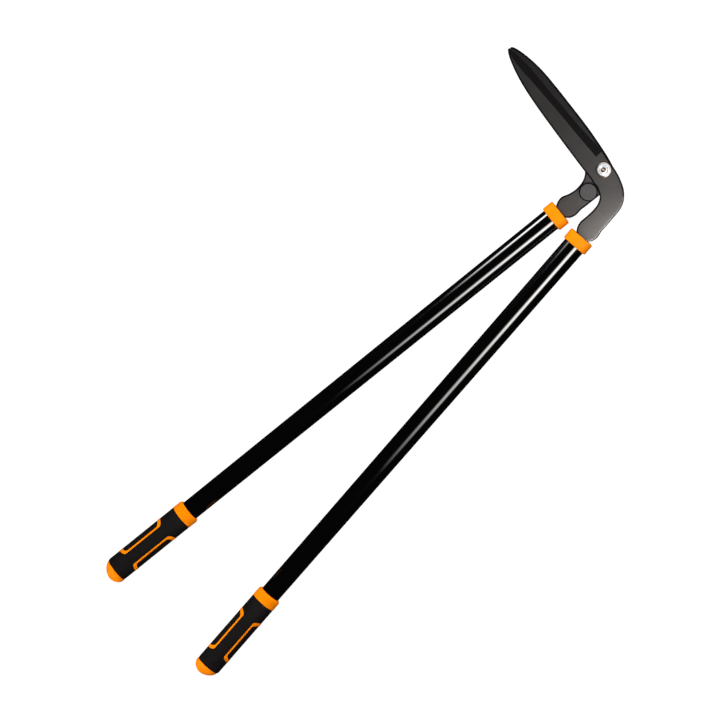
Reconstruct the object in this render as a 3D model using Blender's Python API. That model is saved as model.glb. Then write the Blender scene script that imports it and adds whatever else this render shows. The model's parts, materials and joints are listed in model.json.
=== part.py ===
"""Long handled grass shears, lying flat with the blades closed.

Two flat steel plates cross at one pivot bolt. Each plate is a blade at one end and a tang at the
other. The tang is pinned into an oval tube, and the tube ends in a two colour grip. The left half
is the fixed one, and the right half turns about the bolt. Lengths are metres, Z is up, +Y runs
from the grips to the head along the line that halves the angle between the handles, and the
blades point to -X. The head is drawn round the pivot, and each handle in a frame of its own whose
origin is where the tube begins and whose +Y points at the head.
"""
import math

import bmesh
import bpy
from mathutils import Matrix, Vector

MM = 0.001

# Running gaps, and how far a cutter reaches past what it cuts
FIT_GAP = 0.3 * MM
BLADE_CLEARANCE = 0.3 * MM
CUT_SPARE = 1.0 * MM

# Where the two handles start and how far they splay
DATUM_DROP = 99.8 * MM
BISECTOR_X = 25.6 * MM
DATUM_SPREAD = 50.6 * MM
SPLAY = math.radians(5.07)

# Blade plates
PLATE_THICKNESS = 3.5 * MM
PLATE_EDGE_ROUND = 0.5 * MM
UPPER_REACH = 229.5 * MM
LOWER_REACH = 228.7 * MM
GRIND_DEPTH = 2.4 * MM
GRIND_START = 21.5 * MM

# Tangs, from the collar's mouth into the tube
TANG_WIDTH = 22.0 * MM
TANG_DEPTH = 42.0 * MM
TANG_BULGE = 34.8 * MM
BULGE_SHIFT = 0.6 * MM
BULGE_RISE = 15.0 * MM
SHOULDER_RISE = 6.1 * MM
SHOULDER_SHARE = 0.88
TANG_CORNER = 4.0 * MM

# Stop buffer on the lower tang
BUFFER_RADIUS = 14.0 * MM
BUFFER_OFFSET = 2.8 * MM
BUFFER_ALONG = 60.8 * MM
BUFFER_EDGE_ROUND = 1.2 * MM
BUFFER_CROWN = 0.35 * MM
BUFFER_STEM_RADIUS = 3.5 * MM
BUFFER_BUTTON_RADIUS = 6.0 * MM
BUFFER_BUTTON_HEIGHT = 1.8 * MM
NEST_START = math.radians(62)
NEST_END = math.radians(104)

# Pivot bolt, its washers and lock nut
BOLT_RADIUS = 4.0 * MM
BOLT_FLANGE_RADIUS = 8.75 * MM
BOLT_FLANGE_THICKNESS = 1.2 * MM
BOLT_HEAD_RADIUS = 7.2 * MM
BOLT_HEAD_HEIGHT = 4.4 * MM
HEAD_CROWN_SHARE = 0.62
BOLT_END_PROUD = 1.5 * MM
THREAD_CHAMFER = 0.8 * MM
SOCKET_ACROSS = 5.0 * MM
SOCKET_DEPTH = 2.8 * MM
WASHER_RADIUS = 11.8 * MM
WASHER_THICKNESS = 1.6 * MM
NUT_HEIGHT = 8.0 * MM
NUT_HEX_HEIGHT = 5.6 * MM
NUT_WALL = 0.9 * MM
NUT_COLLAR_STEP = 0.3 * MM
NUT_RING_WALL = 1.0 * MM
NUT_RING_HEIGHT = 1.6 * MM
NUT_RING_LIP = 0.5 * MM

# Oval tubes, which taper evenly towards the grips
TUBE_WIDTH_FRONT = 34.2 * MM
TUBE_WIDTH_REAR = 31.1 * MM
TUBE_THICK_FRONT = 27.5 * MM
TUBE_THICK_REAR = 24.5 * MM
TUBE_WALL = 1.0 * MM

# Collars over the tube ends
COLLAR_SIDE_WALL = 3.2 * MM
COLLAR_TOP_WALL = 2.45 * MM
COLLAR_LENGTH = 17.8 * MM
COLLAR_CORNER = 12.5 * MM
COLLAR_EDGE_ROUND = 2.2 * MM
COLLAR_FACE_WALL = 3.0 * MM
LEFT_COLLAR_FRONT = 9.4 * MM
RIGHT_COLLAR_FRONT = 6.7 * MM

# Tang inserts and their pins inside the tubes
INSERT_BEYOND = 3.0 * MM
PIN_RADIUS = 2.5 * MM

# Grips
RING_START = 716.4 * MM
RING_LENGTH = 16.6 * MM
RING_BEVEL = 4.0 * MM
RING_LIP = 0.9 * MM
CORE_SIDE_WALL = 1.15 * MM
CORE_TOP_WALL = 1.45 * MM
RING_PROUD = 0.2 * MM
SLEEVE_LENGTH = 130.4 * MM
SLEEVE_WALL = 2.2 * MM
SLEEVE_EDGE = 0.8 * MM
CAP_LENGTH = 16.2 * MM
CAP_BLUNTNESS = 1.2
CAP_END = math.radians(82)
CAP_INSET = 0.6 * MM
CAP_LEAN_BASE = 0.7 * MM
CAP_LEAN_TIP = 3.3 * MM
TUBE_SEAT = 4.0 * MM

# Pad loops on the sides of each grip
LOOP_START = 26.2 * MM
LOOP_LENGTH = 80.8 * MM
LOOP_END_BULGE = 7.3 * MM
LOOP_HALF_ANGLE = math.radians(59.5)
LOOP_RUN_ANGLE = math.radians(8.0)
LOOP_END_WIDTH = 5.2 * MM
LOOP_PROUD = 0.3 * MM
PAD_DEPTH = 1.9 * MM

# Roundness of the solids
OVAL_COUNT = 32
TURN_COUNT = 28
PIN_COUNT = 16
CAP_COUNT = 7
CURVE_STEPS = 3

# Looks: colour, roughness, metallic value and clear coat
COATED_STEEL = ((0.065, 0.060, 0.058), 0.42, 0.55, 0.0)
BRIGHT_STEEL = ((0.75, 0.74, 0.72), 0.22, 1.0, 0.0)
BLACK_GLOSS = ((0.006, 0.006, 0.006), 0.12, 0.0, 1.0)
ORANGE_PLASTIC = ((0.95, 0.30, 0.01), 0.35, 0.0, 0.0)
SOFT_BLACK = ((0.012, 0.011, 0.011), 0.65, 0.0, 0.0)
GREY_RUBBER = ((0.085, 0.080, 0.080), 0.6, 0.0, 0.0)
BLACK_NYLON = ((0.020, 0.020, 0.020), 0.5, 0.0, 0.0)

# Blade outlines. A row is the share of the reach, the outer edge's and the inner edge's distance
# from the pivot's line, and the width of the ground band, the last three in millimetres.
UPPER_ROWS = (
    (0.087, 18.8, -21.6, 13.4),
    (0.261, 25.5, -16.8, 17.8),
    (0.436, 30.0, -11.6, 19.3),
    (0.610, 33.9, -5.9, 20.9),
    (0.741, 36.0, -0.4, 21.4),
    (0.828, 35.5, 4.6, 20.5),
    (0.893, 33.9, 9.4, 17.4),
    (0.957, 30.7, 15.5, 12.0),
    (0.990, 27.0, 20.0, 5.8),
)
UPPER_TIP = 22.7
LOWER_ROWS = (
    (0.087, 20.0, -20.4, 13.4),
    (0.261, 26.7, -15.6, 17.8),
    (0.436, 31.2, -10.4, 19.3),
    (0.610, 35.1, -4.7, 20.9),
    (0.741, 37.1, 0.8, 21.4),
    (0.828, 36.6, 5.9, 20.5),
    (0.893, 35.2, 11.0, 17.4),
    (0.957, 32.5, 17.6, 12.0),
    (0.990, 29.8, 22.7, 5.8),
)
LOWER_TIP = 27.3

# Hollow grind: share of the band's width and share of the grind's depth
GRIND_PROFILE = ((0.0, 0.0), (0.25, 0.40), (0.50, 0.68), (1.0, 1.0), (1.25, 1.06))

# Edges round the pivot and along the tangs, in millimetres. Points of a tang are given as its
# handle sees them: distance off the handle's axis, and distance from the tube's start.
UPPER_HUB = ((0.0, 14.8), (12.0, 12.6), (25.0, 9.2), (38.5, 3.5), (44.4, 0.0), (49.9, -5.0),
             (54.7, -10.5), (58.4, -17.7), (60.7, -25.5))
UPPER_OUTER = ((16.6, 64.0), (16.7, 53.0), (16.8, 42.0), (16.5, 33.5))
UPPER_INNER = ((-15.0, 35.0), (-13.8, 47.0), (-14.3, 58.4), (-17.6, 66.9), (-20.2, 70.5))
UPPER_ROOT = ((-0.5, -24.0), (-9.0, -22.8))
LOWER_HUB = ((-7.0, 17.2), (4.0, 14.2), (12.0, 11.1), (18.0, 5.5), (21.0, -4.0))
LOWER_RIGHT = ((16.1, 80.0), (16.9, 70.0), (17.0, 56.5), (16.8, 42.0), (16.6, 36.0))
LOWER_LEFT = ((-13.4, 36.8), (-12.3, 49.0), (-14.3, 61.2), (-17.8, 69.0), (-23.1, 75.0))


# Scene, materials and small helpers

def clear_scene():
    for item in list(bpy.data.objects):
        bpy.data.objects.remove(item)


def own_material(name, look):
    colour, roughness, metallic, coat = look
    material = bpy.data.materials.new(name)
    material.use_nodes = True
    shader = material.node_tree.nodes["Principled BSDF"]
    shader.inputs["Base Color"].default_value = (*colour, 1.0)
    shader.inputs["Roughness"].default_value = roughness
    shader.inputs["Metallic"].default_value = metallic
    shader.inputs["Coat Weight"].default_value = coat
    material.diffuse_color = (*colour, 1.0)
    return material


def frame_empty(name, parent, place):
    frame = bpy.data.objects.new(name, None)
    bpy.context.collection.objects.link(frame)
    frame.parent = parent
    frame.matrix_local = place
    return frame


def solid(name, mesh_source, parent, look, smooth=40.0):
    bmesh.ops.recalc_face_normals(mesh_source, faces=mesh_source.faces)
    mesh = bpy.data.meshes.new(name)
    mesh_source.to_mesh(mesh)
    mesh_source.free()
    piece = bpy.data.objects.new(name, mesh)
    bpy.context.collection.objects.link(piece)
    piece.parent = parent
    if look:
        mesh.materials.append(own_material(name, look))
        mesh.shade_smooth()
        mesh.set_sharp_from_angle(angle=math.radians(smooth))
    return piece


def cutter(name, mesh_source, parent):
    tool = solid(name, mesh_source, parent, None)
    tool.hide_render = True
    tool.display_type = "WIRE"
    return tool


def apply_cut(piece, tool, operation="DIFFERENCE"):
    cut = piece.modifiers.new(tool.name, "BOOLEAN")
    cut.operation = operation
    cut.object = tool
    cut.solver = "EXACT"


# Shapes

def smooth_run(knots, steps=CURVE_STEPS):
    """Points on a centripetal Catmull-Rom curve through the knots, both ends kept."""
    knots = [Vector(knot) for knot in knots]
    ends = [2 * knots[0] - knots[1], *knots, 2 * knots[-1] - knots[-2]]
    run = [knots[0]]
    for a, b, c, d in zip(ends, ends[1:], ends[2:], ends[3:]):
        t1 = (b - a).length ** 0.5
        t2 = t1 + (c - b).length ** 0.5
        t3 = t2 + (d - c).length ** 0.5
        for step in range(1, steps + 1):
            t = t1 + (t2 - t1) * step / steps
            ab = a + (b - a) * (t / t1)
            bc = b + (c - b) * ((t - t1) / (t2 - t1))
            cd = c + (d - c) * ((t - t2) / (t3 - t2))
            abc = ab + (bc - ab) * (t / t2)
            bcd = bc + (cd - bc) * ((t - t1) / (t3 - t1))
            run.append(abc + (bcd - abc) * ((t - t1) / (t2 - t1)))
    return run


def arc(centre, radius, start, stop, count):
    """Points on an arc, with both ends."""
    points = []
    for step in range(count + 1):
        angle = start + (stop - start) * step / count
        points.append(centre + radius * Vector((math.cos(angle), math.sin(angle))))
    return points


def oval_ring(half_width, half_thick, y, shift=0.0, count=OVAL_COUNT):
    """An upright oval of points round a handle's axis."""
    ring = []
    for step in range(count):
        angle = 2 * math.pi * step / count
        ring.append(Vector((shift + half_width * math.cos(angle), y, half_thick * math.sin(angle))))
    return ring


def loft(rings, close_start=True, close_end=True, around=False):
    """A skin through rings of equal count; around joins the last ring to the first."""
    mesh = bmesh.new()
    rows = [[mesh.verts.new(point) for point in ring] for ring in rings]
    pairs = list(zip(rows, rows[1:]))
    if around:
        pairs.append((rows[-1], rows[0]))
    for first, second in pairs:
        count = len(first)
        for step in range(count):
            after = (step + 1) % count
            mesh.faces.new((first[step], first[after], second[after], second[step]))
    if close_start and not around:
        mesh.faces.new(rows[0])
    if close_end and not around:
        mesh.faces.new(rows[-1])
    return mesh


def turned(profile, count=TURN_COUNT):
    """A solid turned about Z from (radius, height) points that run from axis to axis."""
    mesh = bmesh.new()
    verts = [mesh.verts.new((radius, 0, height)) for radius, height in profile]
    edges = [mesh.edges.new(pair) for pair in zip(verts, verts[1:])]
    if profile[0][0] > 0:
        edges.append(mesh.edges.new((verts[-1], verts[0])))
    bmesh.ops.spin(mesh, geom=verts + edges, cent=(0, 0, 0), axis=(0, 0, 1), dvec=(0, 0, 0),
                   angle=2 * math.pi, steps=count, use_merge=True, use_duplicate=False)
    bmesh.ops.remove_doubles(mesh, verts=mesh.verts, dist=1e-7)
    return mesh


def prism(points, low, high, edge_round=0.0):
    """A plate with the given flat outline, its two rims rounded if asked."""
    mesh = bmesh.new()
    verts = [mesh.verts.new((point.x, point.y, low)) for point in points]
    face = mesh.faces.new(verts)
    grown = bmesh.ops.extrude_face_region(mesh, geom=[face])
    raised = [item for item in grown["geom"] if isinstance(item, bmesh.types.BMVert)]
    bmesh.ops.translate(mesh, verts=raised, vec=(0, 0, high - low))
    if edge_round:
        rims = [edge for edge in mesh.edges if abs(edge.verts[0].co.z - edge.verts[1].co.z) < 1e-9]
        bmesh.ops.bevel(mesh, geom=rims, offset=edge_round, segments=1, profile=0.5,
                        affect="EDGES", clamp_overlap=True, material=-1)
    return mesh


def box(low, high):
    mesh = bmesh.new()
    bmesh.ops.create_cube(mesh, size=1.0)
    low = Vector(low)
    high = Vector(high)
    bmesh.ops.scale(mesh, verts=mesh.verts, vec=high - low)
    bmesh.ops.translate(mesh, verts=mesh.verts, vec=(low + high) / 2)
    return mesh


def rod(radius, low, high, place=(0, 0), count=TURN_COUNT):
    mesh = turned([(0, low), (radius, low), (radius, high), (0, high)], count)
    bmesh.ops.translate(mesh, verts=mesh.verts, vec=(place[0], place[1], 0))
    return mesh


# Blade plates

def handle_place(side):
    """Where a handle's own frame lies in the head; side is -1 on the left and +1 on the right."""
    x = BISECTOR_X + side * DATUM_SPREAD / 2
    return Matrix.Translation((x, -DATUM_DROP, 0)) @ Matrix.Rotation(side * SPLAY, 4, "Z")


def head_points(points, place=None):
    """Millimetre points as head points, through a handle's frame where one is given."""
    placed = []
    for x, y in points:
        point = Vector((x * MM, y * MM, 0))
        placed.append((place @ point if place else point).to_2d())
    return placed


def bulge_points(direction, mouth, place):
    """The rounded swelling between the neck and the collar, from the neck to the mouth."""
    half = direction * TANG_BULGE / 2
    points = (
        (half + BULGE_SHIFT, mouth + BULGE_RISE),
        (half * SHOULDER_SHARE + BULGE_SHIFT, mouth + SHOULDER_RISE),
        (direction * TANG_WIDTH / 2, mouth),
    )
    return [(place @ Vector((x, y, 0))).to_2d() for x, y in points]


def tang_end(place):
    """The hidden end inside the tube, from the right side to the left."""
    half = TANG_WIDTH / 2 - TANG_CORNER
    deep = -TANG_DEPTH + TANG_CORNER
    right = arc(Vector((half, deep)), TANG_CORNER, 0, -math.pi / 2, 4)
    left = arc(Vector((-half, deep)), TANG_CORNER, -math.pi / 2, -math.pi, 4)
    return [(place @ point.to_3d()).to_2d() for point in right + left]


def blade_edge(rows, reach, column):
    """One edge of a blade from its root to its tip; column 1 is the outer edge, 2 the inner."""
    return [Vector((-row[0] * reach, row[column] * MM)) for row in rows]


def buffer_centre():
    return (handle_place(-1) @ Vector((BUFFER_OFFSET, BUFFER_ALONG, 0))).to_2d()


def upper_outline():
    """Round the plate from the stop's pocket, by the inner edge and the tip, to the tang."""
    place = handle_place(1)
    pocket = BUFFER_RADIUS + FIT_GAP
    nest = arc(buffer_centre(), pocket, NEST_START, NEST_END, 4)
    knots = [nest[-1]]
    knots += head_points(UPPER_ROOT)
    knots += blade_edge(UPPER_ROWS, UPPER_REACH, 2)
    knots.append(Vector((-UPPER_REACH, UPPER_TIP * MM)))
    knots += reversed(blade_edge(UPPER_ROWS, UPPER_REACH, 1))
    knots += head_points(UPPER_HUB)
    knots += head_points(UPPER_OUTER, place)
    knots += bulge_points(1, RIGHT_COLLAR_FRONT, place)
    back = list(reversed(bulge_points(-1, RIGHT_COLLAR_FRONT, place)))
    back += head_points(UPPER_INNER, place)
    back.append(nest[0])
    return smooth_run(knots) + tang_end(place) + smooth_run(back) + nest[1:-1]


def lower_outline():
    """Round the plate from the collar's left side, by the tip, to the collar's right side."""
    place = handle_place(-1)
    knots = list(reversed(bulge_points(-1, LEFT_COLLAR_FRONT, place)))
    knots += head_points(LOWER_LEFT, place)
    knots += blade_edge(LOWER_ROWS, LOWER_REACH, 2)
    knots.append(Vector((-LOWER_REACH, LOWER_TIP * MM)))
    knots += reversed(blade_edge(LOWER_ROWS, LOWER_REACH, 1))
    knots += head_points(LOWER_HUB)
    knots += head_points(LOWER_RIGHT, place)
    knots += bulge_points(1, LEFT_COLLAR_FRONT, place)
    return smooth_run(knots) + tang_end(place)


def grind_tool(rows, reach, tip, column, face_z, outward):
    """The hollow grind along a cutting edge: face_z is the ground face, outward its direction."""
    towards = 1 if column == 1 else -1
    widest = max(row[3] for row in rows)
    stations = [(-GRIND_START, rows[0][column] * MM, rows[0][3])]
    stations += [(-row[0] * reach, row[column] * MM, row[3]) for row in rows[1:]]
    stations.append((-reach - CUT_SPARE, tip * MM, 1.0))
    sections = []
    for x, edge, width in stations:
        band = width * MM
        depth = GRIND_DEPTH * math.sqrt(width / widest)
        start = edge - towards * band
        section = [Vector((x, start, face_z + outward * PLATE_THICKNESS))]
        for share, drop in GRIND_PROFILE:
            section.append(Vector((x, start + towards * share * band, face_z - outward * drop * depth)))
        far = edge + towards * (band / 4 + CUT_SPARE)
        section.append(Vector((x, far, face_z - outward * depth)))
        section.append(Vector((x, far, face_z + outward * PLATE_THICKNESS)))
        sections.append(section)
    return loft(sections)


def plate_hole(radius, low, place=(0, 0)):
    return rod(radius + FIT_GAP, low - CUT_SPARE, low + PLATE_THICKNESS + CUT_SPARE, place)


def blade_plate(name, outline, low, frame, tool_mesh):
    mesh = prism(outline, low, low + PLATE_THICKNESS, PLATE_EDGE_ROUND)
    plate = solid(name, mesh, frame, COATED_STEEL)
    apply_cut(plate, cutter(name + "_grind", tool_mesh, frame))
    apply_cut(plate, cutter(name + "_pivot_hole", plate_hole(BOLT_RADIUS, low), frame))
    return plate


def build_blades(lower_frame, upper_frame):
    upper_low = BLADE_CLEARANCE / 2
    lower_low = -BLADE_CLEARANCE / 2 - PLATE_THICKNESS
    upper_tool = grind_tool(UPPER_ROWS, UPPER_REACH, UPPER_TIP, 1, upper_low + PLATE_THICKNESS, 1)
    lower_tool = grind_tool(LOWER_ROWS, LOWER_REACH, LOWER_TIP, 2, lower_low, -1)
    upper = blade_plate("upper_blade", upper_outline(), upper_low, upper_frame, upper_tool)
    lower = blade_plate("lower_blade", lower_outline(), lower_low, lower_frame, lower_tool)
    hole = plate_hole(BUFFER_STEM_RADIUS, lower_low, buffer_centre())
    apply_cut(lower, cutter("lower_blade_buffer_hole", hole, lower_frame))
    return upper, lower


def build_buffer(frame):
    """A domed round buffer whose stem passes the tang and spreads into a button below it."""
    top_of_tang = -BLADE_CLEARANCE / 2
    base = top_of_tang + FIT_GAP
    top = BLADE_CLEARANCE / 2 + PLATE_THICKNESS + FIT_GAP
    under = top_of_tang - PLATE_THICKNESS - FIT_GAP
    button_low = under - BUFFER_BUTTON_HEIGHT
    button_round = BUFFER_BUTTON_HEIGHT / 2
    profile = [
        (0, button_low),
        (BUFFER_BUTTON_RADIUS - button_round, button_low),
        (BUFFER_BUTTON_RADIUS, button_low + button_round),
        (BUFFER_BUTTON_RADIUS, under),
        (BUFFER_STEM_RADIUS, under),
        (BUFFER_STEM_RADIUS, base),
        (BUFFER_RADIUS, base),
    ]
    rim = arc(Vector((BUFFER_RADIUS - BUFFER_EDGE_ROUND, top - BUFFER_EDGE_ROUND)),
              BUFFER_EDGE_ROUND, 0, math.pi / 2, 2)
    profile += [tuple(point) for point in rim]
    profile.append((0, top + BUFFER_CROWN))
    mesh = turned(profile)
    bmesh.ops.translate(mesh, verts=mesh.verts, vec=buffer_centre().to_3d())
    solid("stop_buffer", mesh, frame, GREY_RUBBER)


# Pivot bolt set

def hexagon(across):
    corner = across / math.sqrt(3)
    return arc(Vector((0, 0)), corner, 0, 2 * math.pi, 6)[:-1]


def build_pivot(frame):
    half_gap = BLADE_CLEARANCE / 2
    washer_low = half_gap + PLATE_THICKNESS + FIT_GAP
    head_low = washer_low + WASHER_THICKNESS + FIT_GAP
    head_top = head_low + BOLT_HEAD_HEIGHT
    rear_high = -half_gap - PLATE_THICKNESS - FIT_GAP
    nut_high = rear_high - WASHER_THICKNESS - FIT_GAP
    nut_low = nut_high - NUT_HEIGHT
    bolt_low = nut_low - BOLT_END_PROUD
    bore = BOLT_RADIUS + FIT_GAP

    for name, low in (("front_washer", washer_low), ("rear_washer", rear_high - WASHER_THICKNESS)):
        high = low + WASHER_THICKNESS
        round_off = WASHER_THICKNESS / 4
        washer = [(bore, low), (WASHER_RADIUS, low), (WASHER_RADIUS, high - round_off),
                  (WASHER_RADIUS - round_off, high), (bore, high)]
        solid(name, turned(washer), frame, BRIGHT_STEEL)

    crown = BOLT_HEAD_RADIUS * HEAD_CROWN_SHARE
    flange_high = head_low + BOLT_FLANGE_THICKNESS
    dome = []
    for step in range(4):
        angle = math.pi / 2 * step / 4
        dome.append((crown + (BOLT_HEAD_RADIUS - crown) * math.cos(angle),
                     flange_high + (head_top - flange_high) * math.sin(angle)))
    profile = [(0, bolt_low), (BOLT_RADIUS - THREAD_CHAMFER, bolt_low),
               (BOLT_RADIUS, bolt_low + THREAD_CHAMFER), (BOLT_RADIUS, head_low),
               (BOLT_FLANGE_RADIUS, head_low), (BOLT_FLANGE_RADIUS, flange_high),
               *dome, (crown, head_top), (0, head_top)]
    bolt = solid("pivot_bolt", turned(profile), frame, BRIGHT_STEEL)
    socket = prism(hexagon(SOCKET_ACROSS), head_top - SOCKET_DEPTH, head_top + CUT_SPARE)
    apply_cut(bolt, cutter("pivot_bolt_socket", socket, frame))

    ring_outer = bore + NUT_RING_WALL
    flat = ring_outer + FIT_GAP + NUT_WALL
    collar = flat - NUT_COLLAR_STEP
    corner = 2 * flat / math.sqrt(3)
    hex_low = nut_high - NUT_HEX_HEIGHT
    chamfer = THREAD_CHAMFER / 2
    nut = solid("lock_nut", prism(hexagon(2 * flat), nut_low, nut_high), frame, BRIGHT_STEEL)
    barrel = [(0, nut_low), (collar - chamfer, nut_low), (collar, nut_low + chamfer),
              (collar, hex_low), (flat, hex_low), (corner + chamfer, hex_low + THREAD_CHAMFER),
              (corner + chamfer, nut_high - THREAD_CHAMFER), (flat, nut_high), (0, nut_high)]
    apply_cut(nut, cutter("lock_nut_barrel", turned(barrel), frame), "INTERSECT")
    ring_low = nut_low + NUT_RING_LIP
    ring_high = ring_low + NUT_RING_HEIGHT
    hollow_low = nut_low - CUT_SPARE
    hollow_high = nut_high + CUT_SPARE
    hollow = [(0, hollow_low), (ring_outer + FIT_GAP, hollow_low),
              (ring_outer + FIT_GAP, ring_high + FIT_GAP), (bore, ring_high + FIT_GAP),
              (bore, hollow_high), (0, hollow_high)]
    apply_cut(nut, cutter("lock_nut_hollow", turned(hollow), frame))
    ring = [(bore, ring_low), (ring_outer, ring_low), (ring_outer, ring_high), (bore, ring_high)]
    solid("lock_nut_ring", turned(ring), frame, BLACK_NYLON)


# Handles

def tube_half(y):
    """Half width and half thickness of a tube at a place along its handle."""
    share = -y / RING_START
    width = TUBE_WIDTH_FRONT + (TUBE_WIDTH_REAR - TUBE_WIDTH_FRONT) * share
    thick = TUBE_THICK_FRONT + (TUBE_THICK_REAR - TUBE_THICK_FRONT) * share
    return width / 2, thick / 2


def tube_ring(y, inset):
    half_width, half_thick = tube_half(y)
    return oval_ring(half_width - inset, half_thick - inset, y)


def sleeve_end():
    return RING_START + RING_LENGTH + SLEEVE_LENGTH


def pin_hole(pin_y):
    reach = TUBE_THICK_FRONT
    return rod(PIN_RADIUS + FIT_GAP, -reach, reach, (0, pin_y), PIN_COUNT)


def build_tube(name, frame, front, pin_y):
    rear = -sleeve_end() + TUBE_SEAT
    start = front - COLLAR_FACE_WALL - FIT_GAP
    rings = [tube_ring(start, 0), tube_ring(rear, 0), tube_ring(rear, TUBE_WALL),
             tube_ring(start, TUBE_WALL)]
    tube = solid(name, loft(rings, around=True), frame, BLACK_GLOSS)
    apply_cut(tube, cutter(name + "_pin_hole", pin_hole(pin_y), frame))


def rounded_section(width, thick, corner, y):
    """A rectangle with round corners, upright across a handle."""
    points = []
    for quarter in range(4):
        sign_x = 1 if quarter in (0, 3) else -1
        sign_z = 1 if quarter in (0, 1) else -1
        centre = Vector((sign_x * (width / 2 - corner), sign_z * (thick / 2 - corner)))
        start = quarter * math.pi / 2
        points += arc(centre, corner, start, start + math.pi / 2, 6)
    return [Vector((point.x, y, point.y)) for point in points]


def tang_slot(start, stop, tang_z):
    half = TANG_WIDTH / 2 + FIT_GAP
    high = PLATE_THICKNESS / 2 + FIT_GAP
    return box((-half, start, tang_z - high), (half, stop, tang_z + high))


def build_collar(name, frame, front, tang_z):
    """A moulded collar over the tube's end, whose front wall has a slot for the tang."""
    rear = front - COLLAR_LENGTH
    width = TUBE_WIDTH_FRONT + 2 * (FIT_GAP + COLLAR_SIDE_WALL)
    thick = TUBE_THICK_FRONT + 2 * (FIT_GAP + COLLAR_TOP_WALL)
    sections = []
    for end, inward in ((front, -1), (rear, 1)):
        rounded = []
        for step in range(4):
            angle = math.pi / 2 * step / 3
            draw_in = COLLAR_EDGE_ROUND * (1 - math.sin(angle))
            y = end + inward * COLLAR_EDGE_ROUND * (1 - math.cos(angle))
            rounded.append(rounded_section(width - 2 * draw_in, thick - 2 * draw_in,
                                           COLLAR_CORNER - draw_in, y))
        sections += rounded if end == front else reversed(rounded)
    collar = solid(name, loft(sections), frame, ORANGE_PLASTIC)
    mouth = front - COLLAR_FACE_WALL
    bore = loft([tube_ring(mouth, -FIT_GAP), tube_ring(rear - CUT_SPARE, -FIT_GAP)])
    apply_cut(collar, cutter(name + "_bore", bore, frame))
    slot = tang_slot(mouth - CUT_SPARE, front + CUT_SPARE, tang_z)
    apply_cut(collar, cutter(name + "_slot", slot, frame))


def build_insert(prefix, frame, front, tang_z, pin_y):
    """The moulded plug that holds the tang in the tube, and the pin across both."""
    start = front - COLLAR_FACE_WALL - FIT_GAP
    rear = -TANG_DEPTH - INSERT_BEYOND
    inset = TUBE_WALL + FIT_GAP
    mesh = loft([tube_ring(start, inset), tube_ring(rear, inset)])
    plug = solid(prefix + "_tang_insert", mesh, frame, BLACK_NYLON)
    slot = tang_slot(rear - CUT_SPARE, start + CUT_SPARE, tang_z)
    apply_cut(plug, cutter(prefix + "_insert_slot", slot, frame))
    apply_cut(plug, cutter(prefix + "_insert_pin_hole", pin_hole(pin_y), frame))
    length = tube_half(pin_y)[1] - FIT_GAP / 2
    pin = rod(PIN_RADIUS, -length, length, (0, pin_y), PIN_COUNT)
    solid(prefix + "_tang_pin", pin, frame, BRIGHT_STEEL)


def loop_rows(inset_ends, inset_angle, count=10):
    """A pad loop's outline, unrolled: rows of angle round the grip and its two ends along it."""
    first = -(RING_START + RING_LENGTH + LOOP_START) - inset_ends
    last = first - LOOP_LENGTH + 2 * inset_ends
    top = LOOP_HALF_ANGLE - inset_angle
    rows = []
    for step in range(count + 1):
        turn = -math.pi / 2 + math.pi * step / count
        sink = LOOP_END_BULGE * (1 - math.cos(turn))
        rows.append((top * math.sin(turn), first - sink, last + sink))
    return rows


def grip_half():
    """Half width and half thickness of a grip, from the tube out through core and sleeve."""
    tube_width, tube_thick = tube_half(-RING_START)
    around = 2 * FIT_GAP + SLEEVE_WALL
    return tube_width + CORE_SIDE_WALL + around, tube_thick + CORE_TOP_WALL + around


def on_grip(angle, y, level, direction):
    """A point on a grip at an angle up from its side, level metres out from the sleeve's skin."""
    half_width, half_thick = grip_half()
    out = Vector((math.cos(angle) / half_width, 0, math.sin(angle) / half_thick)).normalized()
    point = Vector((half_width * math.cos(angle), y, half_thick * math.sin(angle))) + level * out
    return Vector((direction * point.x, point.y, point.z))


def rolled_patch(rows, low, high, direction):
    """A solid pad rolled on to the grip's side, between two levels."""
    layers = []
    for level in (low, high):
        layers.append([(on_grip(angle, first, level, direction), on_grip(angle, last, level, direction))
                       for angle, first, last in rows])
    sections = []
    for under, over in zip(*layers):
        sections.append([under[0], over[0], over[1], under[1]])
    return loft(sections)


def rolled_band(outer_rows, inner_rows, low, high, direction):
    """The rib between a loop's outer and inner outlines, rolled on to the grip's side."""
    loops = []
    for rows, level in ((outer_rows, low), (outer_rows, high), (inner_rows, high), (inner_rows, low)):
        side = [on_grip(angle, first, level, direction) for angle, first, last in rows]
        back = [on_grip(angle, last, level, direction) for angle, first, last in reversed(rows)]
        loops.append(side + back)
    return loft(loops, around=True)


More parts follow.
